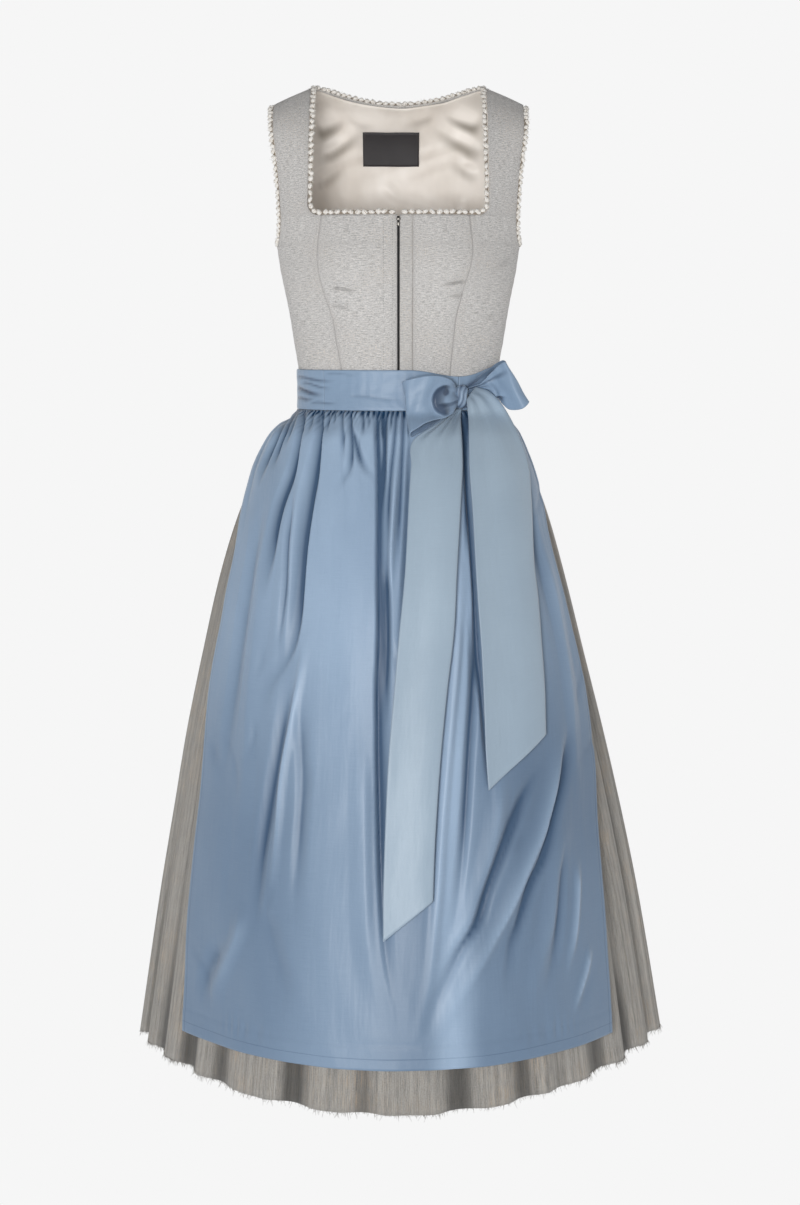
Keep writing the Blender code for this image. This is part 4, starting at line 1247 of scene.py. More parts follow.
skirt_levels = np.concatenate([np.linspace(HEM_LEVEL, -0.52, 76), np.linspace(-0.513, -0.3778, 44)])
for node, place, start in (("skirt_front", skirt_front, -90), ("skirt_back", skirt_back, 90)):
    half = cut_cloth(
        node + "_cloth", 300, skirt_levels, place, CLOTH_WALL, (1.15, 0.88), [skirt_linen],
        skirt_painted_shade(start),
    )
    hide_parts(node)

# ---- Apron ----------------------------------------------------------------------------------------------
# One length of pale blue taffeta, gathered tight into its band and turned up 28 mm at the foot, with narrow
# side hems. It hangs over the skirt in soft folds that the bow draws to its side.
THIN_WALL = 0.0012
BAND_FOOT = -0.403
APRON_FOOT = -1.178
APRON_TOP = BAND_FOOT - SEAM_GAP
APRON_SEAT = 0.002
APRON_LIFT = 0.0085
APRON_SPREAD = 0.005
LEAST_CLEAR = 0.0034  # from the apron's face to the skirt's mean surface
APRON_GATHERS = 58
APRON_GATHER_DEPTH = 0.0022
BROAD_FOLDS = 14
BROAD_FOLD_DEPTH = 0.0052
FULLNESS = 0.0045  # how far the gathers stand out below the band
HEM_STITCHES = 0.028
# A line of stitches on the flat cut, drawn with painted shade and bumps: where it starts to show, shows,
# starts to fade and is gone.
HEM_SEWN = (0.0262, 0.0276, 0.0280, 0.0294)  # up from the foot
SIDE_SEWN = (0.3226, 0.3238, 0.3242, 0.3256)  # out from the middle
CUT_MIDDLE = 0.33
TINY_PLEATS = (560, 16)  # how close they stand, and how far they wander
PLEAT_ENDS = 0.030  # how unevenly they end
GATHERED_RUN = (0.777, 0.808)  # heights on the cut that they run between
SHADE_MIDDLE = -0.072  # the apron's painted shade is least here, and more to its sides
BOW_X = 0.066
# Painted shade runs down between the tails here.
BETWEEN_TAILS = 0.0830
RIGHT_SIDE = 0.10  # painted shade on the right side starts here
APRON_EDGES = table(
    "level left right",
    (-1.178, -51.0, 49.5),
    (-1.050, -53.9, 51.9),
    (-0.940, -55.0, 55.0),
    (-0.840, -56.4, 60.5),
    (-0.750, -59.3, 63.6),
    (-0.640, -60.0, 63.6),
    (-0.560, -63.5, 64.5),
    (-0.500, -72.0, 71.0),
    (-0.445, -84.0, 76.0),
    (-0.4033, -86.0, 78.0),
)
# Each fold is a valley, or a ridge where its depth is below nothing. After its depth and its width to the
# left and to the right come the places that it runs through, each a level and an x, from its foot up.
APRON_FOLDS = (
    # Gathers below the band, which die away within a hand's width.
    (0.0060, 0.008, 0.005, (-0.500, -0.176), (-0.470, -0.166), (-0.440, -0.152), (-0.4035, -0.133)),
    (0.0056, 0.007, 0.004, (-0.478, -0.158), (-0.450, -0.149), (-0.425, -0.138), (-0.4035, -0.128)),
    (0.0040, 0.005, 0.004, (-0.450, -0.140), (-0.425, -0.132), (-0.4035, -0.124)),
    (0.0030, 0.004, 0.004, (-0.436, -0.121), (-0.4035, -0.113)),
    (0.0034, 0.004, 0.004, (-0.434, -0.110), (-0.4035, -0.104)),
    (0.0026, 0.003, 0.003, (-0.426, -0.101), (-0.4035, -0.098)),
    (0.0036, 0.004, 0.004, (-0.434, -0.088), (-0.4035, -0.084)),
    (0.0026, 0.003, 0.003, (-0.422, -0.078), (-0.4035, -0.077)),
    (0.0042, 0.005, 0.004, (-0.462, -0.067), (-0.4035, -0.069)),
    (0.0064, 0.012, 0.005, (-0.500, -0.076), (-0.488, -0.069), (-0.474, -0.060), (-0.452, -0.057),
     (-0.426, -0.058), (-0.4035, -0.059)),
    (0.0060, 0.005, 0.014, (-0.488, -0.024), (-0.481, -0.032), (-0.475, -0.040), (-0.462, -0.048),
     (-0.438, -0.054), (-0.418, -0.055)),
    (0.0034, 0.003, 0.004, (-0.436, -0.043), (-0.4035, -0.043)),
    (0.0026, 0.003, 0.003, (-0.424, -0.036), (-0.4035, -0.036)),
    (0.0034, 0.003, 0.004, (-0.446, -0.020), (-0.4035, -0.021)),
    (0.0050, 0.005, 0.005, (-0.520, -0.019), (-0.470, -0.017), (-0.4035, -0.014)),
    (0.0030, 0.003, 0.003, (-0.430, -0.009), (-0.4035, -0.008)),
    (0.0052, 0.006, 0.005, (-0.600, -0.014), (-0.500, -0.011), (-0.440, -0.005), (-0.4035, -0.002)),
    (0.0052, 0.006, 0.005, (-0.620, -0.004), (-0.520, 0.002), (-0.450, 0.005), (-0.4035, 0.007)),
    (0.0030, 0.003, 0.004, (-0.440, 0.013), (-0.4035, 0.013)),
    (0.0056, 0.007, 0.007, (-0.720, 0.002), (-0.600, 0.008), (-0.500, 0.012), (-0.420, 0.016)),
    # The left side's long folds.
    (0.0095, 0.012, 0.006, (-0.640, -0.168), (-0.580, -0.156), (-0.548, -0.151), (-0.518, -0.144),
     (-0.476, -0.130), (-0.427, -0.120), (-0.4035, -0.118)),
    (0.0120, 0.019, 0.005, (-0.775, -0.166), (-0.733, -0.154), (-0.712, -0.141), (-0.690, -0.130),
     (-0.660, -0.123), (-0.618, -0.119), (-0.559, -0.114), (-0.511, -0.107), (-0.469, -0.100),
     (-0.4035, -0.093)),
    (0.0050, 0.006, 0.006, (-0.720, -0.149), (-0.680, -0.146), (-0.619, -0.139), (-0.560, -0.136),
     (-0.500, -0.128)),
    (-0.0030, 0.008, 0.008, (-0.690, -0.140), (-0.649, -0.136), (-0.589, -0.131), (-0.523, -0.125),
     (-0.470, -0.118)),
    (-0.0040, 0.006, 0.009, (-1.030, -0.160), (-1.008, -0.157), (-0.960, -0.153), (-0.900, -0.147),
     (-0.834, -0.141), (-0.774, -0.130), (-0.713, -0.119), (-0.660, -0.112)),
    (0.0065, 0.013, 0.009, (-1.060, -0.184), (-0.993, -0.172), (-0.932, -0.166), (-0.859, -0.154),
     (-0.799, -0.144), (-0.700, -0.128)),
    (0.0055, 0.010, 0.014, (-1.030, -0.128), (-0.962, -0.123), (-0.903, -0.119), (-0.843, -0.116),
     (-0.796, -0.118), (-0.730, -0.118)),
    (0.0060, 0.024, 0.020, (-1.120, -0.132), (-1.080, -0.142), (-1.040, -0.154), (-0.992, -0.166)),
    (-0.0050, 0.014, 0.012, (-1.140, -0.214), (-1.118, -0.226), (-1.080, -0.212), (-1.040, -0.196),
     (-1.000, -0.190)),
    (0.0045, 0.012, 0.014, (-1.142, -0.236), (-1.120, -0.243), (-1.090, -0.236), (-1.050, -0.222)),
    (-0.0040, 0.016, 0.016, (-0.980, -0.206), (-0.850, -0.190), (-0.640, -0.172), (-0.500, -0.152)),
    (0.0045, 0.012, 0.010, (-0.900, -0.222), (-0.760, -0.204), (-0.620, -0.186), (-0.500, -0.164)),
    # The panel's edge beside the left tail, which runs from the band to the hem.
    (0.0120, 0.004, 0.015, (-1.150, 0.022), (-1.138, 0.012), (-1.123, 0.001), (-1.073, -0.011),
     (-1.026, -0.018), (-0.921, -0.023), (-0.745, -0.026), (-0.663, -0.024), (-0.580, -0.025),
     (-0.509, -0.025), (-0.4035, -0.027)),
    (-0.0045, 0.005, 0.005, (-0.680, -0.013), (-0.560, -0.009), (-0.460, -0.003)),
    (-0.0035, 0.020, 0.010, (-1.140, -0.020), (-1.060, -0.034), (-0.940, -0.040), (-0.780, -0.042)),
    (0.0100, 0.006, 0.004, (-0.540, -0.021), (-0.505, -0.020), (-0.470, -0.018), (-0.4035, -0.018)),
    (0.0100, 0.010, 0.006, (-0.800, -0.016), (-0.720, -0.014), (-0.640, -0.013), (-0.560, -0.014)),
    # Between and below the tails, where the folds swing to the left as they fall.
    (-0.0065, 0.010, 0.009, (-1.176, 0.000), (-1.135, 0.022), (-1.105, 0.032), (-1.047, 0.041),
     (-0.989, 0.046), (-0.910, 0.051), (-0.844, 0.056), (-0.774, 0.062), (-0.676, 0.071),
     (-0.560, 0.078)),
    (0.0090, 0.010, 0.008, (-1.060, 0.048), (-1.008, 0.066), (-0.943, 0.076), (-0.873, 0.082),
     (-0.795, 0.087), (-0.716, 0.093), (-0.620, 0.092)),
    (-0.0060, 0.018, 0.014, (-1.090, 0.036), (-1.051, 0.062), (-1.014, 0.082), (-0.976, 0.098),
     (-0.923, 0.112), (-0.884, 0.120), (-0.820, 0.128)),
    (0.0100, 0.014, 0.010, (-1.150, 0.030), (-1.124, 0.038), (-1.097, 0.047), (-1.066, 0.062),
     (-1.037, 0.077), (-1.011, 0.096), (-0.976, 0.107), (-0.939, 0.123), (-0.902, 0.139),
     (-0.860, 0.157), (-0.820, 0.184)),
    (-0.0066, 0.018, 0.009, (-1.160, 0.040), (-1.136, 0.050), (-1.113, 0.062), (-1.073, 0.089),
     (-1.032, 0.114), (-0.996, 0.135), (-0.952, 0.156), (-0.907, 0.177), (-0.854, 0.193),
     (-0.780, 0.205)),
    (0.0072, 0.007, 0.014, (-1.110, 0.128), (-1.073, 0.131), (-1.035, 0.137), (-1.009, 0.147),
     (-0.971, 0.160), (-0.943, 0.175), (-0.892, 0.189), (-0.847, 0.203), (-0.780, 0.216)),
    (-0.0050, 0.016, 0.014, (-1.130, 0.160), (-1.080, 0.170), (-1.020, 0.186), (-0.960, 0.196),
     (-0.900, 0.208)),
    (0.0050, 0.009, 0.009, (-1.110, 0.180), (-1.045, 0.194), (-0.966, 0.200), (-0.920, 0.206)),
    (-0.0045, 0.006, 0.006, (-1.100, 0.204), (-1.049, 0.215), (-1.003, 0.220), (-0.950, 0.222)),
    (-0.0040, 0.005, 0.006, (-1.145, 0.212), (-1.093, 0.230), (-1.060, 0.238)),
    (0.0115, 0.007, 0.006, (-0.900, 0.113), (-0.850, 0.111), (-0.772, 0.105), (-0.677, 0.098),
     (-0.582, 0.093), (-0.510, 0.088), (-0.438, 0.083), (-0.4035, 0.076)),
    # The right side, beyond the right tail.
    (0.0050, 0.010, 0.010, (-0.560, 0.150), (-0.480, 0.128), (-0.420, 0.112)),
    (0.0055, 0.010, 0.012, (-0.700, 0.196), (-0.600, 0.178), (-0.500, 0.148), (-0.430, 0.124)),
    (-0.0040, 0.010, 0.010, (-0.900, 0.226), (-0.760, 0.214), (-0.640, 0.196), (-0.540, 0.170)),
)
# Small dents in the crisp cloth, a little longer than wide, each at its own slant.
DENTS = 30
DENT_DEPTH = (0.0006, 0.0018)
DENT_LENGTH = (0.018, 0.050)
DENT_WIDTH = (0.0050, 0.0110)


def apron_dents(x, level):
    """How deep the small dents are at a place on the apron."""
    chance = np.random.default_rng(23)
    depth = np.zeros(np.shape(x))
    for _ in range(DENTS):
        middle_x, middle_level = chance.uniform(-0.26, 0.26), chance.uniform(-1.13, -0.47)
        slant = math.radians(chance.uniform(-38, 38)) + 0.6 * middle_x
        deep, length, width = (
            mix(*pair, chance.uniform()) for pair in (DENT_DEPTH, DENT_LENGTH, DENT_WIDTH)
        )
        out_x, out_level = x - middle_x, level - middle_level
        along = out_level * math.cos(slant) + out_x * math.sin(slant)
        aside = out_x * math.cos(slant) - out_level * math.sin(slant) + 6 * along**2
        fits = 0.3 if abs(middle_x + 0.075) < 0.045 else 1.0
        depth += fits * deep * bell(aside, width) * bell(along, length)
    return depth


def apron_clear(level):
    """How far the apron's face lies outside the skirt's mean surface."""
    fallen = APRON_TOP - level
    return APRON_SEAT + APRON_LIFT * ease(fallen / 0.03) + APRON_SPREAD * ease(fallen / 0.25)


def apron_valleys(x, level):
    """How far the folds press the apron in at a place, and its painted shade: dark in steep valleys, and -1,
    a painted highlight, on a ridge's top.
    """
    pressed, closed = np.zeros(np.shape(x)), np.zeros(np.shape(x))
    narrowed = mix(0.35, 1.0, ease((APRON_TOP - level) / 0.10))
    for depth, left, right, *places in APRON_FOLDS:
        path = table("level x", *places)
        foot, top = path["level"][0], path["level"][-1]
        down = (top - level) / (top - foot)
        aside = x - read(path, "x", np.clip(level, foot, top))
        side = np.where(aside < 0, left, right)
        aside = np.minimum(np.abs(aside) / np.maximum(side * narrowed, np.minimum(side, 0.004)), 1.0)
        starts = 0.002 / (top - foot) if top > -0.41 else 0.25
        strength = ease(down / starts) * ease((1 - down) / 0.45)
        profile = strength * mix(bell(aside, 1.0), 1 - aside, 0.55)
        pressed += depth * profile
        # Painted shade in steep valleys and painted highlight on steep ridges.
        steep = np.clip((abs(depth) / min(left, right) - 0.25) / 1.15, 0, 1)
        closed += math.copysign(steep, depth) * (0.7 * profile**1.2 + 0.6 * profile**4)
    return pressed, closed


def apron_shade(x, level):
    """Painted shade on the apron: just under the band, at its sides and most on the right, low down and
    between the tails, and painted light beside the bow.
    """
    fallen = APRON_TOP - level
    right = ease((x - RIGHT_SIDE) / 0.06)
    sides = 0.22 * (1 - bell((x - SHADE_MIDDLE) / 0.10, 1.0)) * ease(fallen / 0.06) + 0.18 * right
    sides -= 0.16 * ease((-level - 0.82) / 0.2) * right + 0.50 * bell(x - BOW_X, 0.040)
    between = 1.5 * bell(x - BETWEEN_TAILS, 0.0065) * ease((level + 0.60) / 0.10)
    return 0.5 * ease(1 - fallen / 0.004) + sides + 0.38 * ease((-level - 0.60) / 0.34) + between


def apron_at(share, level):
    """The angle, the relief from the apron's mean surface, and the painted shade at a place on the apron."""
    angle = mix(read(APRON_EDGES, "left", level), read(APRON_EDGES, "right", level), share)
    x = skirt_place(angle, level, apron_clear(level))[..., 0]
    fallen = APRON_TOP - level
    calm = 1 - 0.8 * bell((x - BOW_X) / 0.046, 1.0)  # flatter where the bow lies on it
    turn = 2 * np.pi * share
    phase = turn * APRON_GATHERS / 2 + 1.1 * np.sin(5.3 * turn) + 0.7 * np.sin(11.7 * turn + 1)
    runs = 0.030 + 0.012 * np.sin(31 * share) + 0.009 * np.sin(67 * share + 1)
    size = ease(fallen / 0.0015) * ease(1 - fallen / runs) * (0.75 + 0.25 * np.sin(43 * share)) * calm
    packed = 1 - np.abs(np.sin(phase)) ** 0.8
    wide = turn * BROAD_FOLDS / 2 + 1.0 * np.sin(2.1 * turn + 1) + 0.6 * np.sin(4.7 * turn)
    lengths = 0.15 + 0.05 * np.sin(19 * share + 2)
    broad = BROAD_FOLD_DEPTH * ease((fallen - 0.006) / 0.03) * ease(1 - fallen / lengths) * calm
    broad = broad * (np.abs(np.sin(wide)) ** 0.9 - 0.3) * (0.7 + 0.3 * np.sin(23 * share))
    full = FULLNESS * ease(fallen / 0.004) * ease(1 - fallen / 0.075) * calm
    soft = 0.0012 * np.sin(x * 37 + 5 * level) * np.sin(level * 17 - x * 9)
    soft = soft + 0.0007 * np.sin(x * 83 + 3 * np.sin(level * 11)) * np.sin(level * 27 + x * 21)
    near_hem = APRON_FOOT + HEM_STITCHES - level
    hem = 0.0005 * ease((near_hem + 0.0015) / 0.003) - 0.0008 * bell(near_hem, 0.0022)
    pulled = bell(x + 0.185, 0.045) + 0.8 * bell(x - 0.185, 0.05)
    pucker = 0.0011 * pulled * np.sin(x * 560 + 3 * np.sin(x * 91)) * bell(near_hem, 0.018)
    pressed, closed = apron_valleys(x, level)
    dents = apron_dents(x, level)
    pressed += dents
    # Painted shade in the dents.
    closed += 50 * dents
    gathered = APRON_GATHER_DEPTH * size * packed
    relief = full + broad + soft * ease(fallen / 0.1) + hem + pucker - gathered - pressed
    deepest = np.minimum(LEAST_CLEAR - apron_clear(level), -0.0004)
    held = np.where(relief < 0, deepest * np.tanh(relief / deepest), relief)
    # Painted shade in the gathers and the broad folds' valleys, painted highlight on their tops, and the
    # painted shade by place.
    closed += 0.85 * size * packed**1.5 - 80 * broad + apron_shade(x, level)
    return angle, held, closed


def apron_place(across, level):
    """The apron's outer face, clear of the skirt."""
    angle, relief, _ = apron_at(across, level)
    return skirt_place(angle, level, apron_clear(level) + relief)


def apron_painted_shade(across, level):
    """The painted shade at a place on the apron."""
    return apron_at(across, level)[2]


def taffeta(name, shade, shadow, deep, pale, gloss=0.42, gathered=None):
    """Crisp silk taffeta: fine threads across it, a soft gloss, painted shade in its folds and a painted
    highlight along their tops.

    It is lightly crumpled all over. Gathered gives the two heights that tiny pleats of painted shade and
    bumps run between, and adds painted shade and bumps along the lines of stitches of the hems.
    """
    made, shader, start = new_finish(name, {"Sheen Weight": 0.2, "Sheen Roughness": 0.4, "IOR": 1.42})
    cut = cut_of(start)
    slubs = cut.scaled(40, 1300).noise(1.0, 2.0, 0.5)
    threads = cut.scaled(900, 2600).noise(1.0, 2.0, 0.6)
    cloud = cut.scaled(9, 7).noise(1.0, 2.0, 0.5)
    crumple = cut.scaled(34, 7).noise(1.0, 3.0, 0.5)
    fold = read_painted_shade(start)
    if gathered:
        closeness, wander = TINY_PLEATS
        swing = cut.part("X") * closeness + cut.scaled(14, 5).noise(1.0, 2.0, 0.5) * wander
        pinched = (swing.maths("SINE", swing) * 0.5 + 0.5).within(0.35, 1.0)
        run = (cut.part("Y") + cut.scaled(90, 1).noise(1.0, 2.0, 0.5) * PLEAT_ENDS).within(*gathered)
        pinched = pinched * run
        # Painted shade along the tiny pleats.
        fold = fold + pinched * 0.95
        crumple = crumple - pinched * 0.5
        side, up = abs(cut.part("X") - CUT_MIDDLE), cut.part("Y")
        sewn = side.within(*SIDE_SEWN[:2]) - side.within(*SIDE_SEWN[2:])
        sewn = sewn + up.within(*HEM_SEWN[:2]) - up.within(*HEM_SEWN[2:])
        # Painted shade along the lines of stitches.
        fold = fold + sewn * 0.15
        crumple = crumple - sewn * 0.10
    base = (slubs * 0.25 + threads * 0.30 + cloud * 0.45).ramp((0.35, shadow), (0.65, shade))
    # Painted shade towards the deep colour in the folds, and painted highlight towards the pale one on their
    # tops.
    painted_highlight = (fold * -1.0).within(0.1, 1.0) * 0.38
    link(base.toned(fold * 0.85, deep).toned(painted_highlight, pale), shader, "Base Color")
    link(threads * 0.16 + (gloss - 0.08), shader, "Roughness")
    link(raised(crumple * 0.94 + slubs * 0.02 + threads * 0.04, 0.0040, 0.5), shader, "Normal")
    return made


# The fourth colour is the painted shade in the folds, the fifth the painted highlight on their tops.
apron_taffeta = taffeta(
    "apron_taffeta", (166, 189, 214), (153, 176, 202), (10, 56, 92), (196, 214, 234), gathered=GATHERED_RUN
)
apron_levels = np.concatenate([
    np.linspace(APRON_FOOT, APRON_FOOT + 0.040, 16)[:-1],
    np.linspace(APRON_FOOT + 0.040, -0.56, 72)[:-1],
    np.linspace(-0.56, -0.445, 30)[:-1],
    np.linspace(-0.445, APRON_TOP, 26),
])
apron = cut_cloth(
    "apron_cloth", 340, apron_levels, apron_place, THIN_WALL, (0.66, 0.80), [apron_taffeta], apron_painted_shade
)
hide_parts("apron")

# ---- Waistband and ties -----------------------------------------------------------------------------------
# The apron's band is a folded strip of the same taffeta. One tie goes on from it round the back and meets
# the other at the bow, and both lie crumpled where they are pulled tight.
BAND_TOP = -0.353
BAND_WALL = 0.0016
BAND_JOINT = -46.0
KNOT_ANGLE = 35.4
KNOT_LEVEL = -0.387
BAND_DARK = 0.0024  # a crease this deep gets the most painted shade
BAND = table(
    "level half front back",
    (-0.403, 0.1298, 0.0953, 0.0885),
    (-0.378, 0.1292, 0.0916, 0.0830),
    (-0.353, 0.1302, 0.0926, 0.0822),
)
# Creases in the band and the tie: each runs from one angle and share of the height to another.
BAND_CREASES = table(
    "angle up end_angle end_up depth width",
    (-88.0, 0.52, -44.0, 0.40, 0.0026, 0.085),
    (-86.0, 0.80, -34.0, 0.74, 0.0018, 0.060),
    (-90.0, 0.24, -52.0, 0.30, 0.0020, 0.070),
    (-72.0, 0.66, -38.0, 0.56, 0.0016, 0.050),
    (-60.0, 0.14, -34.0, 0.22, 0.0012, 0.050),
    (-46.0, 0.88, -20.0, 0.92, 0.0007, 0.040),
    (-30.0, 0.34, 4.0, 0.30, 0.0006, 0.060),
    (14.0, 0.64, 32.0, 0.58, 0.0016, 0.060),
    (6.0, 0.46, 31.0, 0.44, 0.0010, 0.050),
    (16.0, 0.28, 32.0, 0.36, 0.0014, 0.050),
    (18.0, 0.84, 33.0, 0.76, 0.0009, 0.040),
    (40.0, 0.60, 74.0, 0.66, 0.0014, 0.055),
    (40.0, 0.40, 66.0, 0.30, 0.0014, 0.055),
    (70.0, 0.52, 128.0, 0.44, 0.0014, 0.060),
    (96.0, 0.78, 140.0, 0.70, 0.0010, 0.050),
    (120.0, 0.66, 190.0, 0.72, 0.0012, 0.060),
    (150.0, 0.34, 226.0, 0.28, 0.0013, 0.060),
    (180.0, 0.50, 240.0, 0.60, 0.0010, 0.050),
    (210.0, 0.60, 270.0, 0.52, 0.0013, 0.060),
    (236.0, 0.26, 272.0, 0.34, 0.0010, 0.055),
)


def band_top(angle):
    """The top edge dips at the knot and rides up beside it."""
    return BAND_TOP - 0.008 * bell(angle - KNOT_ANGLE, 30) + 0.008 * bell(angle - 95, 55)


def band_surface(angle, level):
    """The band's plain outer face at an angle and a level."""
    x, y = ring(BAND, angle, level)
    return np.stack([x, y, level], axis=-1)


def band_creases(angle, up):
    """How deep the band's creases are at a place. An angle may be given past a whole turn."""
    depth = np.zeros(np.shape(angle))
    for a1, u1, a2, u2, deep, width in zip(*BAND_CREASES.values()):
        for turned in (angle, angle - 360):
            along = (turned - a1) / (a2 - a1)
            aside = up - mix(u1, u2, along) - 0.03 * np.sin(6 * along)
            depth += deep * ease(along / 0.2) * ease((1 - along) / 0.4) * bell(aside, width)
    return depth


def band_place(angle, up):
    """The band's crumpled outer face at an angle and a share of its height."""
    level = mix(BAND_FOOT, band_top(angle), up)
    fine = 0.00022 * np.sin(angle * 0.7 + 3 * np.sin(up * 5)) * np.sin(up * 9 + angle * 0.3)
    rolled = 0.0007 * np.exp(-np.minimum(up, 1 - up) / 0.025)
    return moved_out(band_surface, angle, level, fine - band_creases(angle, up) - rolled)


def waistband_angle(across):
    """From the left end of the apron's band to the knot."""
    return mix(BAND_JOINT, KNOT_ANGLE - 0.1, across)


def tie_angle(across):
    """From the knot round the back to the left end of the band."""
    return mix(KNOT_ANGLE + 0.1, 360 + BAND_JOINT - 0.1, across)


# A darker copy of the apron's taffeta: its lower base colours are painted shade on the band, the ties and
# the loops. The fourth colour is the painted shade in folds, the fifth the painted highlight on their tops.
band_taffeta_painted_shade = taffeta("band_taffeta_painted_shade", (148, 171, 196), (134, 157, 183), (46, 62, 88), (190, 208, 228))
band_ups = np.concatenate([[0, 0.02, 0.05], np.linspace(0.09, 0.91, 20), [0.95, 0.98, 1.0]])


def band_cloth(name, columns, flat, angle_at):
    """One of the two lengths of the band, whose angles angle_at gives from its left end to its right."""
    # The last argument is the painted shade in the band's creases.
    return cut_cloth(
        name, columns, band_ups, lambda across, up: band_place(angle_at(across), up), BAND_WALL, flat,
        [band_taffeta_painted_shade], lambda across, up: band_creases(angle_at(across), up) / BAND_DARK,
    )


waistband = band_cloth("waistband_cloth", 150, (0.165, 0.05), waistband_angle)
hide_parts("apron_waistband")

tie_wrap = band_cloth("tie_wrap_cloth", 340, (0.53, 0.052), tie_angle)
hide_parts("tie_wrap")

# ---- Bow ------------------------------------------------------------------------------------------------
# The two ties are knotted in a bow on the wearer's left. Its loops stand off the band, and its tails hang
# down the apron with their raw ends cut on a slant.
KNOT_SIZE = (0.0170, 0.0150, 0.0290)
RIBBON_COLUMNS = 44
TAIL_LEFT = table(
    "along left_x left_level left_clear right_x right_level right_clear",
    (0.00, 0.0715, -0.4006, 0.0050, 0.0790, -0.4006, 0.0055),
    (0.03, 0.0500, -0.4170, 0.0062, 0.0775, -0.4110, 0.0070),
    (0.06, 0.0184, -0.4370, 0.0105, 0.0781, -0.4331, 0.0125),
    (0.12, 0.0153, -0.4680, 0.0130, 0.0789, -0.4688, 0.0150),
    (0.18, 0.0128, -0.5060, 0.0140, 0.0767, -0.5060, 0.0150),
    (0.31, 0.0079, -0.5930, 0.0140, 0.0713, -0.5930, 0.0140),
    (0.42, 0.0010, -0.6640, 0.0140, 0.0674, -0.6640, 0.0140),
    (0.54, -0.0053, -0.7340, 0.0140, 0.0588, -0.7340, 0.0140),
    (0.66, -0.0120, -0.8120, 0.0140, 0.0508, -0.8120, 0.0140),
    (0.79, -0.0159, -0.8950, 0.0130, 0.0448, -0.8950, 0.0130),
    (0.92, -0.0183, -0.9750, 0.0120, 0.0423, -0.9500, 0.0120),
    (1.00, -0.0183, -1.0250, 0.0120, 0.0415, -0.9780, 0.0120),
)
TAIL_RIGHT = table(
    "along left_x left_level left_clear right_x right_level right_clear",
    (0.00, 0.0845, -0.3889, 0.0180, 0.0960, -0.3735, 0.0165),
    (0.04, 0.0863, -0.3998, 0.0200, 0.1140, -0.3795, 0.0190),
    (0.08, 0.0871, -0.4141, 0.0200, 0.1307, -0.3969, 0.0210),
    (0.13, 0.0871, -0.4377, 0.0180, 0.1491, -0.4301, 0.0200),
    (0.20, 0.0874, -0.4736, 0.0160, 0.1625, -0.4690, 0.0170),
    (0.30, 0.0908, -0.5213, 0.0140, 0.1660, -0.5120, 0.0140),
    (0.42, 0.0940, -0.5860, 0.0140, 0.1680, -0.5860, 0.0140),
    (0.52, 0.0968, -0.6320, 0.0140, 0.1729, -0.6320, 0.0140),
    (0.65, 0.1009, -0.6900, 0.0140, 0.1769, -0.6880, 0.0140),
    (0.78, 0.1036, -0.7520, 0.0140, 0.1800, -0.7350, 0.0140),
    (0.90, 0.1055, -0.8060, 0.0130, 0.1809, -0.7680, 0.0130),
    (1.00, 0.1088, -0.8530, 0.0120, 0.1812, -0.7946, 0.0120),
)
# The loops run from the knot along the front leaf and back along the other. Their left edge is the foot.
LOOP_LEFT = table(
    "along left_x left_level left_clear right_x right_level right_clear",
    (0.00, 0.0728, -0.3980, 0.0105, 0.0728, -0.3760, 0.0105),
    (0.12, 0.0640, -0.4080, 0.0190, 0.0640, -0.3640, 0.0190),
    (0.30, 0.0380, -0.4150, 0.0260, 0.0400, -0.3590, 0.0270),
    (0.46, 0.0170, -0.4270, 0.0200, 0.0110, -0.3640, 0.0240),
    (0.53, 0.0145, -0.4320, 0.0145, 0.0056, -0.3670, 0.0160),
    (0.60, 0.0175, -0.4325, 0.0105, 0.0100, -0.3675, 0.0085),
    (0.80, 0.0400, -0.4200, 0.0092, 0.0400, -0.3690, 0.0055),
    (1.00, 0.0710, -0.3970, 0.0065, 0.0710, -0.3770, 0.0055),
)
LOOP_RIGHT = table(
    "along left_x left_level left_clear right_x right_level right_clear",
    (0.00, 0.0825, -0.3860, 0.0070, 0.0825, -0.3760, 0.0070),
    (0.12, 0.1050, -0.3790, 0.0100, 0.1010, -0.3700, 0.0110),
    (0.28, 0.1240, -0.3890, 0.0140, 0.1135, -0.3590, 0.0220),
    (0.40, 0.1380, -0.4020, 0.0260, 0.1235, -0.3480, 0.0360),
    (0.48, 0.1540, -0.4010, 0.0410, 0.1307, -0.3430, 0.0440),
    (0.56, 0.1629, -0.3920, 0.0350, 0.1344, -0.3440, 0.0390),
    (0.64, 0.1510, -0.3940, 0.0260, 0.1290, -0.3410, 0.0310),
    (0.80, 0.1230, -0.3860, 0.0085, 0.1120, -0.3520, 0.0140),
    (1.00, 0.0818, -0.3850, 0.0028, 0.0818, -0.3750, 0.0028),
)


def front_of(x, level):
    """Y of what the bow lies on: the band, and below it the apron, with a smooth step between them."""
    level = np.minimum(level, BAND_TOP)
    high = ease((level - BAND_FOOT + 0.014) / 0.024)
    clear = apron_clear(level)
    half = mix(read(SKIRT, "half", level) + clear, read(BAND, "half", level), high)
    front = mix(read(SKIRT, "front", level) + clear, read(BAND, "front", level), high)
    shift = mix(read(SKIRT, "shift", level), 0.0, high)
    fullness = mix(read(SKIRT, "fullness", level), RING_FULLNESS, high)
    out = (x - shift) / half
    turn = np.arcsin(np.where(out < 0.8, out, 0.8 + 0.13 * np.tanh((out - 0.8) / 0.13)))
    return -np.cos(turn) ** fullness * front


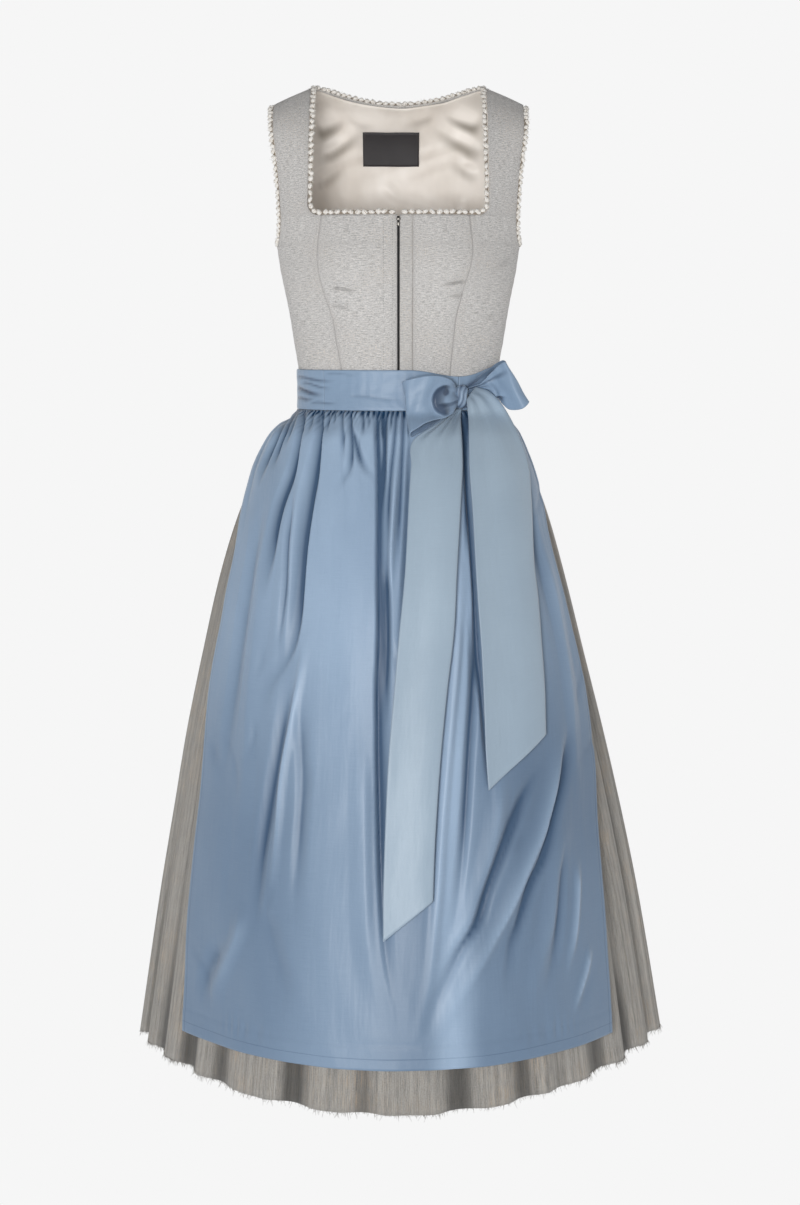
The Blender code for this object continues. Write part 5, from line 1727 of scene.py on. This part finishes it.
def ribbon(name, rows, columns, steps, creased, flat, finish, painted_shade=None):
    """A ribbon of the bow, on a grid that runs up from its table's last section."""

    def surface(across, up):
        along = 1 - up
        x, level, clear = (
            mix(read(rows, "left_" + part, along), read(rows, "right_" + part, along), across)
            for part in ("x", "level", "clear")
        )
        return np.stack([x, front_of(x, level) - clear, level], axis=-1)

    def place(across, up):
        return moved_out(surface, across, up, creased(across, 1 - up), across_step=0.02, up_step=0.004)

    # The ribbon's painted shade, turned to run up the grid.
    shaded = painted_shade and (lambda across, up: painted_shade(across, 1 - up))
    made = cut_cloth(name, columns, np.linspace(0, 1, steps + 1), place, THIN_WALL, flat, [finish], shaded)
    "tail_taffeta" if "tail" in name else "apron_taffeta"
    return made


def tail_creases(folded, gathers, phase, gathers_end, dented, waving):
    """A tail's creases: it is folded along its middle and gathered, and perhaps dented, below the knot."""

    def creased(across, along):
        fold = -folded * np.sin(2 * np.pi * across) * ease(along / 0.15)
        gathered = gathers * np.cos(2 * np.pi * 3 * across + phase)
        gathered = gathered * ease(along / 0.03) * ease(1 - along / gathers_end)
        dent = -dented * bell(across - 0.78 + 1.4 * along, 0.16)
        dent = dent * ease(along / 0.04) * ease(1 - along / 0.20)
        waves = 0.0005 * np.sin(along * waving[0] + across * waving[1] + waving[2])
        waves = waves * bell(across - 0.5, 0.6) * ease(along / 0.2)
        edge = 0.0005 * np.exp(-np.minimum(across, 1 - across) / 0.02)
        return fold + gathered + dent + waves - edge

    return creased


def curl(rows, across, along, middle, reach):
    """A place on a loop's front leaf: how far out from the curl it is, 1 at the rim, and how open it is."""
    x, level = (
        mix(read(rows, "left_" + part, along), read(rows, "right_" + part, along), across)
        for part in ("x", "level")
    )
    out = np.hypot((x - middle[0]) / reach[0], (level - middle[1]) / reach[1])
    opens = ease((middle[0] + 0.5 * reach[0] - x) / (0.8 * reach[0]))
    return np.where(along < 0.47, out, 9.0), np.where(along < 0.47, opens, 0.0)


def loop_folds(rows, middle, reach, deep, hole, crease):
    """A loop's creases and its painted shade: gathers at the knot and one curl in the front leaf.

    The curl's rim stands up, drops sharply on its inner side and rises again to the knot; hole is the place
    and the size of the mouth at its top, in painted shade. A crease runs out from the knot at a share of its
    width.
    """

    def pleats(across, along):
        from_knot = np.minimum(along, 1 - along)
        return np.sin(2 * np.pi * (3.2 * across + 0.5 * along) + 1) * ease(1 - from_knot / 0.32)

    def fold_line(across, along):
        aside = across - crease[0] - 0.5 * (crease[0] - 0.5) * along
        return bell(aside, 0.085) * ease((crease[1] - along) / 0.12)

    def creased(across, along):
        from_knot = np.minimum(along, 1 - along)
        out, opens = curl(rows, across, along, middle, reach)
        lip = 0.5 * deep * np.where(out > 1, bell(out - 1, 0.7), 1.0) * (out < 9)
        drop = 1.5 * deep * opens * ease((1.0 - out) / 0.16) * ease(out / 0.7)
        held = opens * (lip - drop) + 0.0010 * pleats(across, along) - 0.0016 * fold_line(across, along)
        return held * ease(from_knot / 0.04) + 0.0004 * np.sin(along * 50 + across * 9)

    def closed(across, along):
        # Painted shade: inside the curl, at its mouth, by the knot, on the back leaf, in the pleats and
        # along the crease, and a little all over, with painted highlight just outside the curl's rim.
        out, opens = curl(rows, across, along, middle, reach)
        mouth, _ = curl(rows, across, along, hole[:2], hole[2:])
        from_knot = np.minimum(along, 1 - along)
        inside = 0.45 * ease((along - 0.56) / 0.04)
        shaded = opens * ease((1.0 - out) / 0.10) * ease(out / 0.9) * 0.95
        shaded = shaded - 0.35 * opens * bell(out - 1.14, 0.14)
        return (
            0.06 + shaded + 0.9 * ease((1.2 - mouth) / 0.7) + 0.35 * ease(1 - from_knot / 0.14) + inside
            + 0.20 * np.maximum(-pleats(across, along), 0) + 0.55 * fold_line(across, along)
        )

    return creased, closed


def tail_painted_shade(across, along):
    """A tail's painted shade: most at the knot, a little along its edges and more on its lower part."""
    near_edge = 0.18 * np.exp(-np.minimum(across, 1 - across) / 0.03)
    return 0.5 * ease(1 - along / 0.07) + near_edge + 0.08 * ease((along - 0.3) / 0.3)


# A paler, greyer copy of the apron's taffeta: its base colours are painted sheen on the tails. The fourth
# colour is the painted shade in folds, the fifth the painted highlight on their tops.
tail_taffeta = taffeta("tail_taffeta", (172, 191, 207), (162, 181, 198), (70, 86, 108), (196, 210, 222))
left_tail_creases = tail_creases(0.0012, 0.0014, 1, 0.15, 0.0022, (34, 5, 0))
right_tail_creases = tail_creases(0.0016, 0.0009, 2, 0.16, 0.0, (30, 4, 1))
left_loop_creases, left_loop_painted_shade = loop_folds(
    LOOP_LEFT, (0.0590, -0.3900), (0.0180, 0.0190), 0.0034, (0.0575, -0.3800, 0.0050, 0.0045), (0.30, 0.30)
)
right_loop_creases, right_loop_painted_shade = loop_folds(
    LOOP_RIGHT, (0.1290, -0.3960), (0.0160, 0.0110), 0.0022, (0.1240, -0.3980, 0.0060, 0.0040), (0.74, 0.50)
)
left_tail = (left_tail_creases, tail_painted_shade, tail_taffeta)
right_tail = (right_tail_creases, tail_painted_shade, tail_taffeta)
left_loop = (left_loop_creases, left_loop_painted_shade, band_taffeta_painted_shade)
right_loop = (right_loop_creases, right_loop_painted_shade, band_taffeta_painted_shade)
for which, rows, steps, (creased, closed, finish), flat, held in (
    ("tail_left", TAIL_LEFT, 150, left_tail, (0.063, 0.64), "hung"),
    ("tail_right", TAIL_RIGHT, 130, right_tail, (0.078, 0.50), "hung"),
    ("loop_left", LOOP_LEFT, 150, left_loop, (0.055, 0.15), "folded"),
    ("loop_right", LOOP_RIGHT, 150, right_loop, (0.042, 0.170), "folded"),
):
    part = ribbon(which + "_cloth", rows, RIBBON_COLUMNS, steps, creased, flat, finish, closed)
    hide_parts("bow_" + which)

knot_bm = bmesh.new()
bmesh.ops.create_uvsphere(knot_bm, u_segments=48, v_segments=32, radius=1.0)
seat = Vector(band_surface(np.array(KNOT_ANGLE), np.array(KNOT_LEVEL)))
out = Vector(moved_out(band_surface, np.array(KNOT_ANGLE), np.array(KNOT_LEVEL), 1.0)) - seat
out.normalize()
side = Vector((-out.y, out.x, 0)).normalized()
half_width, half_depth, half_height = (size / 2 for size in KNOT_SIZE)
knot_painted_shade = []
for vert in knot_bm.verts:
    wide, deep, tall = (math.copysign(abs(part) ** 0.8, part) for part in vert.co)
    pinch = 1 - 0.12 * math.cos(3 * tall)
    valley = 0.5 + 0.5 * math.cos(8 * wide - 6 * tall + 1.5 * math.sin(3 * tall))
    creased = 1 - 0.22 * valley**2 * (1 - abs(tall) ** 3)
    place = seat + out * (2 * SEAM_GAP + half_depth * (1 + deep * creased))
    vert.co = place + side * (half_width * wide * pinch) + Vector((0, 0, half_height * tall))
    # Painted shade in the knot's creases and at its top and foot.
    knot_painted_shade.append(0.8 * valley**2 + 0.5 * abs(tall) ** 4)
bmesh.ops.recalc_face_normals(knot_bm, faces=knot_bm.faces[:])
knot_mesh = meshed("knot_cloth", knot_bm)
knot_mesh.attributes.new("fold", "FLOAT", "POINT").data.foreach_set("value", knot_painted_shade)


def knot_taffeta_painted_shade(name):
    """The ties' taffeta where it is pulled into the knot: a darker copy, whose lower colours are painted
    shade, with more painted shade in its creases.
    """
    made, shader, start = new_finish(name, {"Sheen Weight": 0.25, "Sheen Roughness": 0.4})
    place = spot_of(start)
    threads = place.scaled(2200, 600, 500).noise(1.0, 2.0, 0.6)
    tone = threads.ramp((0.3, (128, 150, 175)), (0.7, (150, 172, 196)))
    link(tone.toned(read_painted_shade(start) * 0.8, (40, 58, 90)), shader, "Base Color")
    link(threads * 0.16 + 0.36, shader, "Roughness")
    link(raised(threads, 0.0003, 0.4), shader, "Normal")
    return made


knot = shown("knot_cloth", knot_mesh, knot_taffeta_painted_shade("knot_taffeta_painted_shade"))
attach(knot, "root")
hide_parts("bow_knot")
